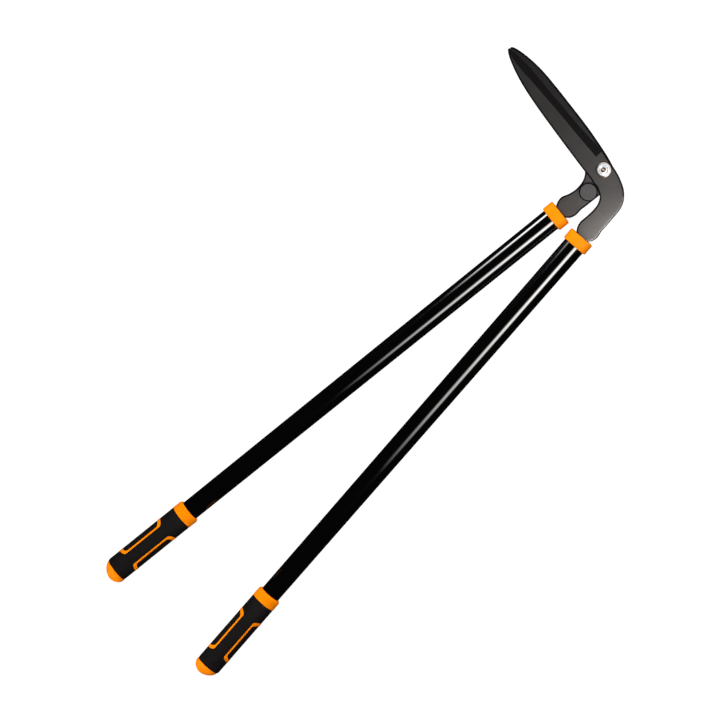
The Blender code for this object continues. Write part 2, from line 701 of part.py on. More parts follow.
def build_grip(prefix, frame, inner):
    """Hard core with ring, ribs and cap, its soft sleeve and two side pads; inner is a sign."""
    half_width, half_thick = grip_half()
    ring_rear = -(RING_START + RING_LENGTH)
    cap_front = -sleeve_end()
    bore_end = cap_front + TUBE_SEAT - FIT_GAP
    body = SLEEVE_WALL + FIT_GAP

    rings = [tube_ring(bore_end, -FIT_GAP), tube_ring(-RING_START, -FIT_GAP)]
    rings.append(tube_ring(-RING_START, -FIT_GAP - RING_LIP))
    full_width = half_width + RING_PROUD
    full_thick = half_thick
    lip_width, lip_thick = (size + FIT_GAP + RING_LIP for size in tube_half(-RING_START))
    for step in range(1, 4):
        angle = math.pi / 2 * step / 3
        share = math.sin(angle)
        y = -RING_START - RING_BEVEL * (1 - math.cos(angle))
        rings.append(oval_ring(lip_width + (full_width - lip_width) * share,
                               lip_thick + (full_thick - lip_thick) * share, y))
    rings.append(oval_ring(full_width, full_thick, ring_rear))
    rings.append(oval_ring(half_width - body, half_thick - body, ring_rear))
    rings.append(oval_ring(half_width - body, half_thick - body, cap_front))
    cap_width = half_width - CAP_INSET
    cap_thick = half_thick - CAP_INSET
    for step in range(CAP_COUNT + 1):
        angle = CAP_END * step / CAP_COUNT
        share = math.sin(angle) / math.sin(CAP_END)
        size = math.cos(angle) ** CAP_BLUNTNESS
        lean = inner * (CAP_LEAN_BASE + (CAP_LEAN_TIP - CAP_LEAN_BASE) * share)
        rings.append(oval_ring(cap_width * size, cap_thick * size, cap_front - CAP_LENGTH * share, lean))
    core = solid(prefix + "_grip_core", loft(rings), frame, ORANGE_PLASTIC)

    front = ring_rear - FIT_GAP
    rear = cap_front + FIT_GAP
    skin = []
    for y, draw_in in ((front, SLEEVE_EDGE / 2), (front - SLEEVE_EDGE, 0), (rear + 4 * SLEEVE_EDGE, 0),
                       (rear + SLEEVE_EDGE, SLEEVE_EDGE / 2), (rear, SLEEVE_EDGE)):
        skin.append(oval_ring(half_width - draw_in, half_thick - draw_in, y))
    skin.append(oval_ring(half_width - SLEEVE_WALL, half_thick - SLEEVE_WALL, rear))
    skin.append(oval_ring(half_width - SLEEVE_WALL, half_thick - SLEEVE_WALL, front))
    sleeve = solid(prefix + "_grip_sleeve", loft(skin, around=True), frame, SOFT_BLACK)

    outer_rows = loop_rows(0, 0)
    inner_rows = loop_rows(LOOP_END_WIDTH, LOOP_RUN_ANGLE)
    angle_gap = FIT_GAP / half_thick
    root = -body - CORE_SIDE_WALL / 2
    for label, direction in (("outer", -inner), ("inner", inner)):
        band = rolled_band(outer_rows, inner_rows, root, LOOP_PROUD, direction)
        apply_cut(core, cutter(f"{prefix}_{label}_rib", band, frame), "UNION")
        window = rolled_patch(loop_rows(-FIT_GAP, -angle_gap), root, CUT_SPARE, direction)
        apply_cut(sleeve, cutter(f"{prefix}_{label}_window", window, frame))
        pad_rows = loop_rows(LOOP_END_WIDTH + FIT_GAP, LOOP_RUN_ANGLE + angle_gap)
        pad = rolled_patch(pad_rows, -PAD_DEPTH, 0, direction)
        solid(f"{prefix}_{label}_pad", pad, frame, SOFT_BLACK)


def build_handle(prefix, side, frame, front, plate):
    """Everything behind one tang; side is -1 on the left and +1 on the right."""
    tang_z = side * (BLADE_CLEARANCE + PLATE_THICKNESS) / 2
    pin_y = front - COLLAR_LENGTH / 2
    build_tube(prefix + "_tube", frame, front, pin_y)
    build_collar(prefix + "_collar", frame, front, tang_z)
    build_insert(prefix, frame, front, tang_z, pin_y)
    build_grip(prefix, frame, -side)
    apply_cut(plate, cutter(prefix + "_tang_pin_hole", pin_hole(pin_y), frame))


# Standing the part on its origin

def evaluated_bounds():
    bpy.context.view_layer.update()
    graph = bpy.context.evaluated_depsgraph_get()
    low = Vector((math.inf,) * 3)
    high = -low
    for item in bpy.data.objects:
        if item.type != "MESH" or item.hide_render:
            continue
        shown = item.evaluated_get(graph)
        for vertex in shown.data.vertices:
            point = shown.matrix_world @ vertex.co
            low = Vector(map(min, low, point))
            high = Vector(map(max, high, point))
    return low, high


def build():
    clear_scene()
    shears = frame_empty("shears", None, Matrix())
    upper_half = frame_empty("upper_half", shears, Matrix())
    left = frame_empty("left_handle", shears, handle_place(-1))
    right = frame_empty("right_handle", upper_half, handle_place(1))
    upper, lower = build_blades(shears, upper_half)
    build_buffer(shears)
    build_pivot(shears)
    build_handle("left", -1, left, LEFT_COLLAR_FRONT, lower)
    build_handle("right", 1, right, RIGHT_COLLAR_FRONT, upper)
    low, high = evaluated_bounds()
    centre = (low + high) / 2
    shears.location = (-centre.x, -centre.y, -low.z)
    bpy.context.view_layer.update()


build()
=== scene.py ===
import json
import math

import bmesh
import bpy
from mathutils import Matrix, Vector


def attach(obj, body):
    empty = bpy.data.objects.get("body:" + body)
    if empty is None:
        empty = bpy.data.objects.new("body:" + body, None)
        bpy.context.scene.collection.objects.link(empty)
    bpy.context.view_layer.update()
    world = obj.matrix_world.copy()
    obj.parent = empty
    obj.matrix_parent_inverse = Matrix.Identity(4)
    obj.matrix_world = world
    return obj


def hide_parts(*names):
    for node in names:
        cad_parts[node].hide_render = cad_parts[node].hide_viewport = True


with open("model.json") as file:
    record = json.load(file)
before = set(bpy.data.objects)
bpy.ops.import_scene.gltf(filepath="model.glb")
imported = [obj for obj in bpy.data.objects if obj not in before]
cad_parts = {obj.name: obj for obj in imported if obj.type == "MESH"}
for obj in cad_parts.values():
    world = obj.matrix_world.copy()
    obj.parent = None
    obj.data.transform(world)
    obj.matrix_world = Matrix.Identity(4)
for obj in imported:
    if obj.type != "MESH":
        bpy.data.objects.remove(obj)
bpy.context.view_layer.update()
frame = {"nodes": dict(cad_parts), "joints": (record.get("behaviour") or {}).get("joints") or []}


# Camera, floor and lights. The shears lie on a glowing white table, photographed from about five
# metres above with the frame turned so that the head is at the upper right. Two broad lights
# shade them; softboxes and a strip draw the reflections on the steel and along the tubes.
MM = 0.001
PHOTO_PIXELS = 724
CAMERA_SPOT = (25, 126, 5033)
CAMERA_AIM = (-42.73, -464.08, 0)
CAMERA_TURN = 46.043
TABLE_HALF = 15.0
scene = bpy.context.scene
scene.view_settings.view_transform = "Standard"
pivot = Vector(frame["joints"][0]["pos_m"])

camera = bpy.data.objects.new("camera", bpy.data.cameras.new("camera"))
camera.data.lens = 166.23
camera.data.sensor_width = 36.0
camera.data.clip_end = 50.0
camera.data.shift_x = -0.5 / PHOTO_PIXELS
camera.data.shift_y = 0.5 / PHOTO_PIXELS
scene.collection.objects.link(camera)
eye = pivot + Vector(CAMERA_SPOT) * MM
target = pivot + Vector(CAMERA_AIM) * MM
forward = (target - eye).normalized()
level_right = forward.cross(Vector((0, 1, 0))).normalized()
turn = Matrix.Rotation(math.radians(CAMERA_TURN), 3, -forward)
right = turn @ level_right
up = right.cross(forward)
camera.matrix_world = Matrix.Translation(eye) @ Matrix((right, up, -forward)).transposed().to_4x4()
scene.camera = camera


def node(tree, kind, **inputs):
    """A shader node with values set on its named inputs."""
    made = tree.nodes.new(kind)
    for name, value in inputs.items():
        made.inputs[name.replace("_", " ")].default_value = value
    return made


floor_mesh = bpy.data.meshes.new("table_top")
flat = bmesh.new()
bmesh.ops.create_grid(flat, x_segments=1, y_segments=1, size=TABLE_HALF)
flat.to_mesh(floor_mesh)
flat.free()
floor = bpy.data.objects.new("table_top", floor_mesh)
scene.collection.objects.link(floor)
floor.visible_glossy = False
floor.visible_diffuse = False
paper = bpy.data.materials.new("white_paper")
paper.use_nodes = True
paper_shader = paper.node_tree.nodes["Principled BSDF"]
paper_shader.inputs["Roughness"].default_value = 0.9
paper_shader.inputs["Specular IOR Level"].default_value = 0.0
paper_shader.inputs["Emission Color"].default_value = (1.0, 1.0, 1.0, 1.0)
paper_shader.inputs["Emission Strength"].default_value = 0.96
paper_tone = node(paper.node_tree, "ShaderNodeTexNoise", Scale=3.0, Detail=2.0)
paper_ramp = node(paper.node_tree, "ShaderNodeMapRange", To_Min=0.10, To_Max=0.12)
paper_place = paper.node_tree.nodes.new("ShaderNodeTexCoord")
paper.node_tree.links.new(paper_place.outputs["Object"], paper_tone.inputs["Vector"])
paper.node_tree.links.new(paper_tone.outputs["Fac"], paper_ramp.inputs["Value"])
paper.node_tree.links.new(paper_ramp.outputs["Result"], paper_shader.inputs["Base Color"])
floor_mesh.materials.append(paper)

# The backdrop is bright to the camera, dim to shaded surfaces and nearly black to gloss.
world = bpy.data.worlds.new("studio")
scene.world = world
world.use_nodes = True
sky = world.node_tree
backdrop = sky.nodes["Background"]
backdrop.inputs["Color"].default_value = (1.0, 1.0, 1.0, 1.0)
ray = sky.nodes.new("ShaderNodeLightPath")
ambient = node(sky, "ShaderNodeMapRange", To_Min=0.25, To_Max=0.01)
seen = node(sky, "ShaderNodeMapRange", To_Max=0.9)
sky.links.new(ray.outputs["Is Glossy Ray"], ambient.inputs["Value"])
sky.links.new(ray.outputs["Is Camera Ray"], seen.inputs["Value"])
sky.links.new(ambient.outputs["Result"], seen.inputs["To Min"])
sky.links.new(seen.outputs["Result"], backdrop.inputs["Strength"])


def area_light(name, spot, aim, size, power, colour=(1.0, 1.0, 1.0), soft_side=0.0, fade=None,
               gives="both"):
    """A rectangular light; spot and aim are metres from the pivot, and size is its width and its
    length along the handles. soft_side blurs its long edges; fade gives the places along it, as
    shares of its length from the grips' end, between which it goes from dark to full. It gives
    both shade and gloss, or one of them alone."""
    lamp = bpy.data.lights.new(name, "AREA")
    lamp.shape = "RECTANGLE"
    lamp.size = size[0]
    lamp.size_y = size[1]
    lamp.energy = power
    lamp.color = colour
    light = bpy.data.objects.new(name, lamp)
    scene.collection.objects.link(light)
    light.visible_glossy = gives != "shade"
    light.visible_diffuse = gives != "gloss"
    back = (Vector(spot) - Vector(aim)).normalized()
    across = Vector((0, 1, 0)).cross(back).normalized()
    light.matrix_world = (Matrix.Translation(pivot + Vector(spot))
                          @ Matrix((across, back.cross(across), back)).transposed().to_4x4())
    if fade:
        lamp.use_nodes = True
        tree = lamp.node_tree
        place = tree.nodes.new("ShaderNodeNewGeometry")
        parts = tree.nodes.new("ShaderNodeSeparateXYZ")
        tree.links.new(place.outputs["Parametric"], parts.inputs["Vector"])
        strength = None
        for part, dark, full in (("Y", *fade), ("X", 0.0, soft_side), ("X", 1.0, 1.0 - soft_side)):
            ramp = node(tree, "ShaderNodeMapRange", From_Min=dark, From_Max=full)
            ramp.interpolation_type = "SMOOTHSTEP" if part == "X" else "LINEAR"
            tree.links.new(parts.outputs[part], ramp.inputs["Value"])
            if strength:
                product = tree.nodes.new("ShaderNodeMath")
                product.operation = "MULTIPLY"
                tree.links.new(strength, product.inputs[0])
                tree.links.new(ramp.outputs["Result"], product.inputs[1])
                strength = product.outputs["Value"]
            else:
                strength = ramp.outputs["Result"]
        tree.links.new(strength, tree.nodes["Emission"].inputs["Strength"])
    return light


area_light("broad_fill", (-0.3, 0.75, 1.9), (0.0, -0.1, 0.0), (2.2, 2.2), 70.0, gives="shade")
area_light("low_fill", (-0.1, -1.5, 0.22), (0.05, -0.9, 0.0), (0.8, 0.25), 4.2, gives="shade")
area_light("softbox", (0.315, -0.365, 0.62), (0.315, -0.365, 0.0), (0.42, 0.55), 9.6,
           (1.0, 0.97, 0.94), 0.4, (0.02, 0.78), "gloss")
area_light("side_strip", (-1.04, -0.08, 0.6), (0.0, -0.08, 0.0), (0.5, 0.46), 10.0,
           soft_side=0.3, fade=(0.0, 0.4))
head_light = area_light("head_light", (0.12, -0.065, 0.11), (0.07, -0.065, 0.0), (0.06, 0.07),
                        0.075, gives="gloss")
head_light.data.spread = math.radians(100)
for name, across, along, size, power in (
        ("head_softbox", 0.30, 0.12, (0.42, 0.30), 1.2),
        ("blade_softbox", -0.11, 0.03, (0.5, 0.2), 0.15)):
    area_light(name, (across, along, 0.62), (across, along, 0.0), size, power, gives="gloss")
for name, along, power in (("blade_end_softbox", 1.1, 2.2), ("grip_end_softbox", -2.1, 5.0)):
    area_light(name, (0.05, along, 1.75), (0.05, -0.5, 0.0), (0.6, 1.0), power, gives="gloss")


# Blade plates. Two stamped steel plates with a dark low-sheen coating. Their rounded rims, the
# narrow band inside them and the walls cut through them are painted black as shade, and the band
# on the right tang's top carries a painted highlight. Each is hollow ground along its cutting
# edge, honed brighter on the outer half: the upper one on top by the outer edge, the lower one
# below by the inner edge.
PLATE = 3.5 * MM
BLADE_GAP = 0.3 * MM
FIT_GAP = 0.3 * MM
RIM_ROUND = 1.5 * MM
RIM_BAND = 1.0 * MM
BAND_DROP = 0.02 * MM
BAND_MERGE = 0.6 * MM
LEVEL_FACE = 0.995
MOST_BAND_CORNERS = 9
# Upward band faces this far right of the pivot, leaning right, take the painted highlight.
HIGHLIGHT_FROM = 49.0 * MM
HIGHLIGHT_LEAN = 0.008
GRIND_DEPTH = 2.4 * MM
GRIND_START = 21.5 * MM
HOLLOW_CURVE = 2.3
PAST_EDGE = 1.25
GROUND_ROWS, HONED_ROWS, BEYOND_ROWS = 6, 4, 4
BOLT_RADIUS = 4.0 * MM
BUFFER_RADIUS = 14.0 * MM
STEM_RADIUS = 3.5 * MM
PIN_HOLE_RADIUS = 2.8 * MM
SAME_PLACE = 1e-9
SPLAY = math.radians(5.07)

# The outlines' own sizes are in millimetres. A mouth is where a handle's collar begins.
EDGE_LINE = 2.0
EDGE_LINE_SHARE = 0.3
LEAST_HONED = 0.02
LEAST_BAND = 0.2
TIP_BAND = (1.0, 0.5)
TANG_WIDTH = 22.0
TANG_DEPTH = 42.0
TANG_CORNER = 4
TANG_BULGE = 34.8
BULGE_SHIFT = 0.6
BULGE_AHEAD = 15.0
SHOULDER_AHEAD = 6.1
SHOULDER_SHARE = 0.88
NEST_GAP = 0.3
PIN_BEHIND = 8.9
CURVE_STEPS = 6
LEFT_MOUTH = 9.4
RIGHT_MOUTH = 6.7
HANDLES = (("left", -1, "lower_half", LEFT_MOUTH), ("right", 1, "upper_half", RIGHT_MOUTH))

# The places of the plates' finishes in their list of materials; the rim slot is a black painted
# shade and the last slot a painted highlight.
COATED, RIM_SHADE, GROUND, HONED, HIGHLIGHT_BAND = range(5)


def handle_place(side):
    """Where a handle's own frame lies: its origin is where the tube begins, +Y is to the head."""
    start = pivot + Vector((25.6 + side * 25.3, -99.8, 0)) * MM
    return Matrix.Translation(start) @ Matrix.Rotation(side * SPLAY, 4, "Z")


def curve_through(knots, steps):
    """Centripetal Catmull-Rom points through the knots, of any dimension."""
    knots = [Vector(knot) for knot in knots]
    ends = [2 * knots[0] - knots[1], *knots, 2 * knots[-1] - knots[-2]]
    run = [knots[0]]
    for a, b, c, d in zip(ends, ends[1:], ends[2:], ends[3:]):
        t1 = (b - a).length ** 0.5
        t2 = t1 + (c - b).length ** 0.5
        t3 = t2 + (d - c).length ** 0.5
        for step in range(1, steps + 1):
            t = t1 + (t2 - t1) * step / steps
            ab = a + (b - a) * (t / t1)
            bc = b + (c - b) * ((t - t1) / (t2 - t1))
            cd = c + (d - c) * ((t - t2) / (t3 - t2))
            abc = ab + (bc - ab) * (t / t2)
            bcd = bc + (cd - bc) * ((t - t1) / (t3 - t1))
            run.append(abc + (bcd - abc) * ((t - t1) / (t2 - t1)))
    return run


def arc(centre, radius, start, stop, count):
    """Points on an arc from one angle to another, in degrees, both ends kept."""
    angles = [math.radians(start + (stop - start) * step / count) for step in range(count + 1)]
    return [Vector((centre[0] + radius * math.cos(angle), centre[1] + radius * math.sin(angle)))
            for angle in angles]


def from_handle(side, points):
    """Points given in a handle's frame, in mm, as points round the pivot, in mm."""
    place = Matrix.Translation(-pivot) @ handle_place(side)
    return [(place @ Vector((x * MM, y * MM, 0))).to_2d() / MM for x, y in points]


def bulge(direction, mouth):
    """One side of a tang's wide place and shoulder, down to where it enters the collar."""
    half = direction * TANG_BULGE / 2
    return [(half + BULGE_SHIFT, mouth + BULGE_AHEAD),
            (half * SHOULDER_SHARE + BULGE_SHIFT, mouth + SHOULDER_AHEAD),
            (direction * TANG_WIDTH / 2, mouth)]


def tang_end(side):
    """The tang's rounded end inside the tube."""
    half = TANG_WIDTH / 2 - TANG_CORNER
    deep = TANG_CORNER - TANG_DEPTH
    return from_handle(side, arc((half, deep), TANG_CORNER, 0, -90, 6)
                       + arc((-half, deep), TANG_CORNER, -90, -180, 6))


# A row is the distance along the blade from the pivot, the outer and the inner edge, the width
# of the ground band and the width of its honed part.
upper_rows = (
    (20.0, 18.8, -21.6, 13.4, 2.0), (59.9, 25.5, -16.8, 17.8, 6.9), (100.1, 30.0, -11.6, 19.3, 9.2),
    (140.0, 33.9, -5.9, 20.9, 10.6), (170.1, 36.0, -0.4, 21.4, 10.4), (190.0, 35.5, 4.6, 20.5, 8.8),
    (204.9, 33.9, 9.4, 17.4, 7.2), (219.6, 30.7, 15.5, 12.0, 4.8), (227.2, 27.0, 20.0, 5.8, 2.9),
)
lower_rows = (
    (19.9, 20.0, -20.4, 13.4, 2.0), (59.7, 26.7, -15.6, 17.8, 6.9), (99.7, 31.2, -10.4, 19.3, 9.2),
    (139.5, 35.1, -4.7, 20.9, 10.6), (169.5, 37.1, 0.8, 21.4, 10.4), (189.4, 36.6, 5.9, 20.5, 8.8),
    (204.2, 35.2, 11.0, 17.4, 7.2), (218.9, 32.5, 17.6, 12.0, 4.8), (226.4, 29.8, 22.7, 5.8, 2.9),
)
upper_tip = (229.5, 22.7)
lower_tip = (228.7, 27.3)
buffer_spot = from_handle(-1, [(2.8, 60.8)])[0]
stem_spot = pivot + buffer_spot.to_3d() * MM


def edge_of(rows, column):
    """The points of a blade's outer (1) or inner (2) edge."""
    return [Vector((-row[0], row[column])) for row in rows]


def upper_outline():
    """The upper plate round the blade, bend and tang, with the nest that meets the buffer."""
    nest = arc(buffer_spot, BUFFER_RADIUS / MM + NEST_GAP, 62, 104, 10)
    knots = [nest[-1], Vector((-0.5, -24.0)), Vector((-9.0, -22.8)), *edge_of(upper_rows, 2)]
    knots += [Vector((-upper_tip[0], upper_tip[1])), *reversed(edge_of(upper_rows, 1))]
    knots += [Vector(p) for p in ((0, 14.8), (12, 12.6), (25, 9.2), (38.5, 3.5), (44.4, 0.0),
                                  (49.9, -5.0), (54.7, -10.5), (58.4, -17.7), (60.7, -25.5))]
    knots += from_handle(1, [(16.6, 64.0), (16.7, 53.0), (16.8, 42.0), (16.5, 33.5)])
    knots += from_handle(1, bulge(1, RIGHT_MOUTH))
    back = from_handle(1, list(reversed(bulge(-1, RIGHT_MOUTH))))
    back += from_handle(1, [(-15.0, 35.0), (-13.8, 47.0), (-14.3, 58.4), (-17.6, 66.9),
                            (-20.2, 70.5)])
    back.append(nest[0])
    return (curve_through(knots, CURVE_STEPS) + tang_end(1) + curve_through(back, CURVE_STEPS)
            + nest[1:-1])


def lower_outline():
    """The lower plate round the tang, blade and hollow."""
    knots = from_handle(-1, list(reversed(bulge(-1, LEFT_MOUTH))))
    knots += from_handle(-1, [(-13.4, 36.8), (-12.3, 49.0), (-14.3, 61.2), (-17.8, 69.0),
                              (-23.1, 75.0)])
    knots += [*edge_of(lower_rows, 2), Vector((-lower_tip[0], lower_tip[1]))]
    knots += reversed(edge_of(lower_rows, 1))
    knots += [Vector(p) for p in ((-7, 17.2), (4, 14.2), (12, 11.1), (18, 5.5), (21, -4.0))]
    knots += from_handle(-1, [(16.1, 80.0), (16.9, 70.0), (17.0, 56.5), (16.8, 42.0), (16.6, 36.0)])
    knots += from_handle(-1, bulge(1, LEFT_MOUTH))
    return curve_through(knots, CURVE_STEPS) + tang_end(-1)


def as_object(name, shape):
    """The closed bmesh as a new object with its faces outward; the bmesh is used up."""
    bmesh.ops.recalc_face_normals(shape, faces=shape.faces)
    if shape.calc_volume(signed=True) < 0:
        bmesh.ops.reverse_faces(shape, faces=shape.faces)
    mesh = bpy.data.meshes.new(name)
    shape.to_mesh(mesh)
    shape.free()
    made = bpy.data.objects.new(name, mesh)
    scene.collection.objects.link(made)
    return made


def carve(piece, tools, operation="DIFFERENCE"):
    """Cuts the tool shapes from a piece, or joins them to it, and uses them up."""
    for tool in tools:
        for material in piece.data.materials:
            tool.data.materials.append(material)
        cut = piece.modifiers.new(tool.name, "BOOLEAN")
        cut.operation = operation
        cut.object = tool
        cut.solver = "EXACT"
        cut.material_mode = "TRANSFER"
    bpy.context.view_layer.update()
    graph = bpy.context.evaluated_depsgraph_get()
    done = bpy.data.meshes.new_from_object(piece.evaluated_get(graph), depsgraph=graph)
    piece.modifiers.clear()
    piece.data = done
    done.name = piece.name
    for tool in tools:
        bpy.data.objects.remove(tool)


def smooth_by_angle(piece, degrees=30.0, weld=2e-6):
    """Smooth shading that keeps a crease at steep edges and where two finishes meet."""
    shape = bmesh.new()
    shape.from_mesh(piece.data)
    bmesh.ops.remove_doubles(shape, verts=shape.verts, dist=weld)
    bmesh.ops.dissolve_degenerate(shape, edges=shape.edges, dist=weld)
    for face in shape.faces:
        face.smooth = True
    for edge in shape.edges:
        if len(edge.link_faces) == 2:
            first, second = edge.link_faces
            steep = edge.calc_face_angle(0.0) > math.radians(degrees)
            edge.smooth = not steep and first.material_index == second.material_index
    shape.to_mesh(piece.data)
    shape.free()


def round_edges(shape, edges, offset, segments):
    """Rounds the edges of a bmesh as the editor's bevel does."""
    bmesh.ops.bevel(shape, geom=edges, offset=offset, segments=segments, profile=0.5,
                    affect="EDGES", clamp_overlap=True, material=-1)


def plate_shape(outline, low):
    """A flat plate with rounded rims, from an outline round the pivot in mm. A narrow band
    inside the rims slopes down to them. Rims and band take the black painted shade, and the
    upward band faces on the right tang a painted highlight."""
    shape = bmesh.new()
    verts = [shape.verts.new((p.x * MM, p.y * MM, low + BAND_DROP)) for p in outline]
    face = shape.faces.new(verts)
    grown = bmesh.ops.extrude_face_region(shape, geom=[face])
    raised = [item for item in grown["geom"] if isinstance(item, bmesh.types.BMVert)]
    bmesh.ops.translate(shape, verts=raised, vec=(0, 0, PLATE - 2 * BAND_DROP))
    bmesh.ops.recalc_face_normals(shape, faces=shape.faces)
    rims = [e for e in shape.edges if abs(e.verts[0].co.z - e.verts[1].co.z) < SAME_PLACE]
    round_edges(shape, rims, RIM_ROUND, 3)
    flats = [face for face in shape.faces if abs(face.normal.z) > LEVEL_FACE]
    bmesh.ops.inset_region(shape, faces=flats, thickness=RIM_BAND, depth=BAND_DROP,
                           use_even_offset=True)
    inner = list(dict.fromkeys(vertex for face in flats for vertex in face.verts))
    bmesh.ops.remove_doubles(shape, verts=inner, dist=BAND_MERGE)
    flats = [face for face in shape.faces if len(face.verts) > MOST_BAND_CORNERS]
    # Rim and band faces take the black painted shade; upward band faces on the right tang take the
    # painted highlight.
    for face in shape.faces:
        right_side = face.calc_center_median().x > HIGHLIGHT_FROM and face.normal.x > HIGHLIGHT_LEAN
        highlighted = right_side and face.normal.z > LEVEL_FACE
        face.material_index = COATED if face in flats else HIGHLIGHT_BAND if highlighted else RIM_SHADE
    bmesh.ops.translate(shape, verts=shape.verts, vec=pivot)
    return shape


def hollow_tool(name, rows, tip, column, face_z, outward):
    """The grinding wheel's path: a sheet shaped to the hollow, raised into a closed block. Across
    it, the first rows are ground, the next are honed and the last reach past the edge and give
    the cut the black painted shade."""
    towards = 1 if column == 1 else -1
    widest = max(row[3] for row in rows)
    knots = [(-GRIND_START / MM, rows[0][column], rows[0][3], 0.0)]
    knots += [(-row[0], row[column], row[3], row[4]) for row in rows[1:]]
    knots.append((-tip[0] - 1, tip[1], *TIP_BAND))
    stations = curve_through(knots, CURVE_STEPS)
    lined_row = GROUND_ROWS + HONED_ROWS
    across = lined_row + BEYOND_ROWS
    shape = bmesh.new()
    bmesh.ops.create_grid(shape, x_segments=len(stations) - 1, y_segments=across, size=1.0)
    for face in shape.faces:
        row = (face.calc_center_median().y + 1) / 2 * across
        face.material_index = GROUND if row < GROUND_ROWS else HONED if row < lined_row else RIM_SHADE
    for vertex in shape.verts:
        station = stations[round((vertex.co.x + 1) / 2 * (len(stations) - 1))]
        row = round((vertex.co.y + 1) / 2 * across)
        band = station[2]
        lined = 1 - min(EDGE_LINE / band, EDGE_LINE_SHARE)
        honed_from = min(1 - station[3] / band, lined - LEAST_HONED)
        if row <= GROUND_ROWS:
            share = honed_from * row / GROUND_ROWS
        elif row <= lined_row:
            share = honed_from + (lined - honed_from) * (row - GROUND_ROWS) / HONED_ROWS
        else:
            share = lined + (PAST_EDGE - lined) * (row - lined_row) / BEYOND_ROWS
        start = station[1] - towards * band
        drop = 1 - (1 - share) ** HOLLOW_CURVE if share < 1 else 1.0
        depth = GRIND_DEPTH * math.sqrt(max(band, LEAST_BAND) / widest)
        vertex.co = Vector((station[0] * MM, (start + towards * share * band) * MM,
                            face_z - outward * depth * drop))
    grown = bmesh.ops.extrude_face_region(shape, geom=list(shape.faces))
    raised = [item for item in grown["geom"] if isinstance(item, bmesh.types.BMVert)]
    bmesh.ops.translate(shape, verts=raised, vec=(0, 0, outward * 2 * PLATE))
    bmesh.ops.translate(shape, verts=shape.verts, vec=pivot)
    return as_object(name, shape)


def drill(name, radius, low, high, spot):
    """A round cutter; the spot is a point of the row frame."""
    shape = bmesh.new()
    bmesh.ops.create_cone(shape, cap_ends=True, segments=64, radius1=radius, radius2=radius,
                          depth=high - low)
    bmesh.ops.translate(shape, verts=shape.verts, vec=(spot[0], spot[1], (low + high) / 2))
    # The walls it cuts take the plates' black painted shade.
    for face in shape.faces:
        face.material_index = RIM_SHADE
    return as_object(name, shape)


def value_group(name, inputs, outputs):
    """An empty shader group with float inputs and the named outputs."""
    group = bpy.data.node_groups.new(name, "ShaderNodeTree")
    for label, value in inputs:
        socket = group.interface.new_socket(name=label, in_out="INPUT",
                                            socket_type="NodeSocketFloat")
        socket.default_value = value
    for label, kind in outputs:
        group.interface.new_socket(name=label, in_out="OUTPUT", socket_type=kind)
    return group, group.nodes.new("NodeGroupInput"), group.nodes.new("NodeGroupOutput")


# Mottle is a cloudy value between two levels, for tone and gloss that are never quite even.
mottle, told, given = value_group(
    "mottle", (("Scale", 20.0), ("Low", 0.0), ("High", 1.0)), (("Value", "NodeSocketFloat"),))
spot = mottle.nodes.new("ShaderNodeTexCoord")
cloud = node(mottle, "ShaderNodeTexNoise", Detail=4.0, Roughness=0.6)
spread_out = node(mottle, "ShaderNodeMapRange", From_Min=0.3, From_Max=0.7)
mottle.links.new(spot.outputs["Object"], cloud.inputs["Vector"])
mottle.links.new(told.outputs["Scale"], cloud.inputs["Scale"])
mottle.links.new(cloud.outputs["Fac"], spread_out.inputs["Value"])
mottle.links.new(told.outputs["Low"], spread_out.inputs["To Min"])
mottle.links.new(told.outputs["High"], spread_out.inputs["To Max"])
mottle.links.new(spread_out.outputs["Result"], given.inputs["Value"])

# Grain is the fine relief of a coating or a moulded skin.
grain, told, given = value_group(
    "grain", (("Scale", 900.0), ("Height", 0.00002), ("Strength", 0.3)),
    (("Normal", "NodeSocketVector"),))
spot = grain.nodes.new("ShaderNodeTexCoord")
specks = node(grain, "ShaderNodeTexNoise", Detail=3.0, Roughness=0.55)
relief = grain.nodes.new("ShaderNodeBump")
grain.links.new(spot.outputs["Object"], specks.inputs["Vector"])
grain.links.new(told.outputs["Scale"], specks.inputs["Scale"])
grain.links.new(specks.outputs["Fac"], relief.inputs["Height"])
grain.links.new(told.outputs["Height"], relief.inputs["Distance"])
grain.links.new(told.outputs["Strength"], relief.inputs["Strength"])
grain.links.new(relief.outputs["Normal"], given.inputs["Normal"])


def linear(red, green, blue):
    """A colour as seen on a screen, 0 to 255, as the shader's linear colour."""
    parts = [c / 255 for c in (red, green, blue)]
    return (*[p / 12.92 if p <= 0.04045 else ((p + 0.055) / 1.055) ** 2.4 for p in parts], 1.0)


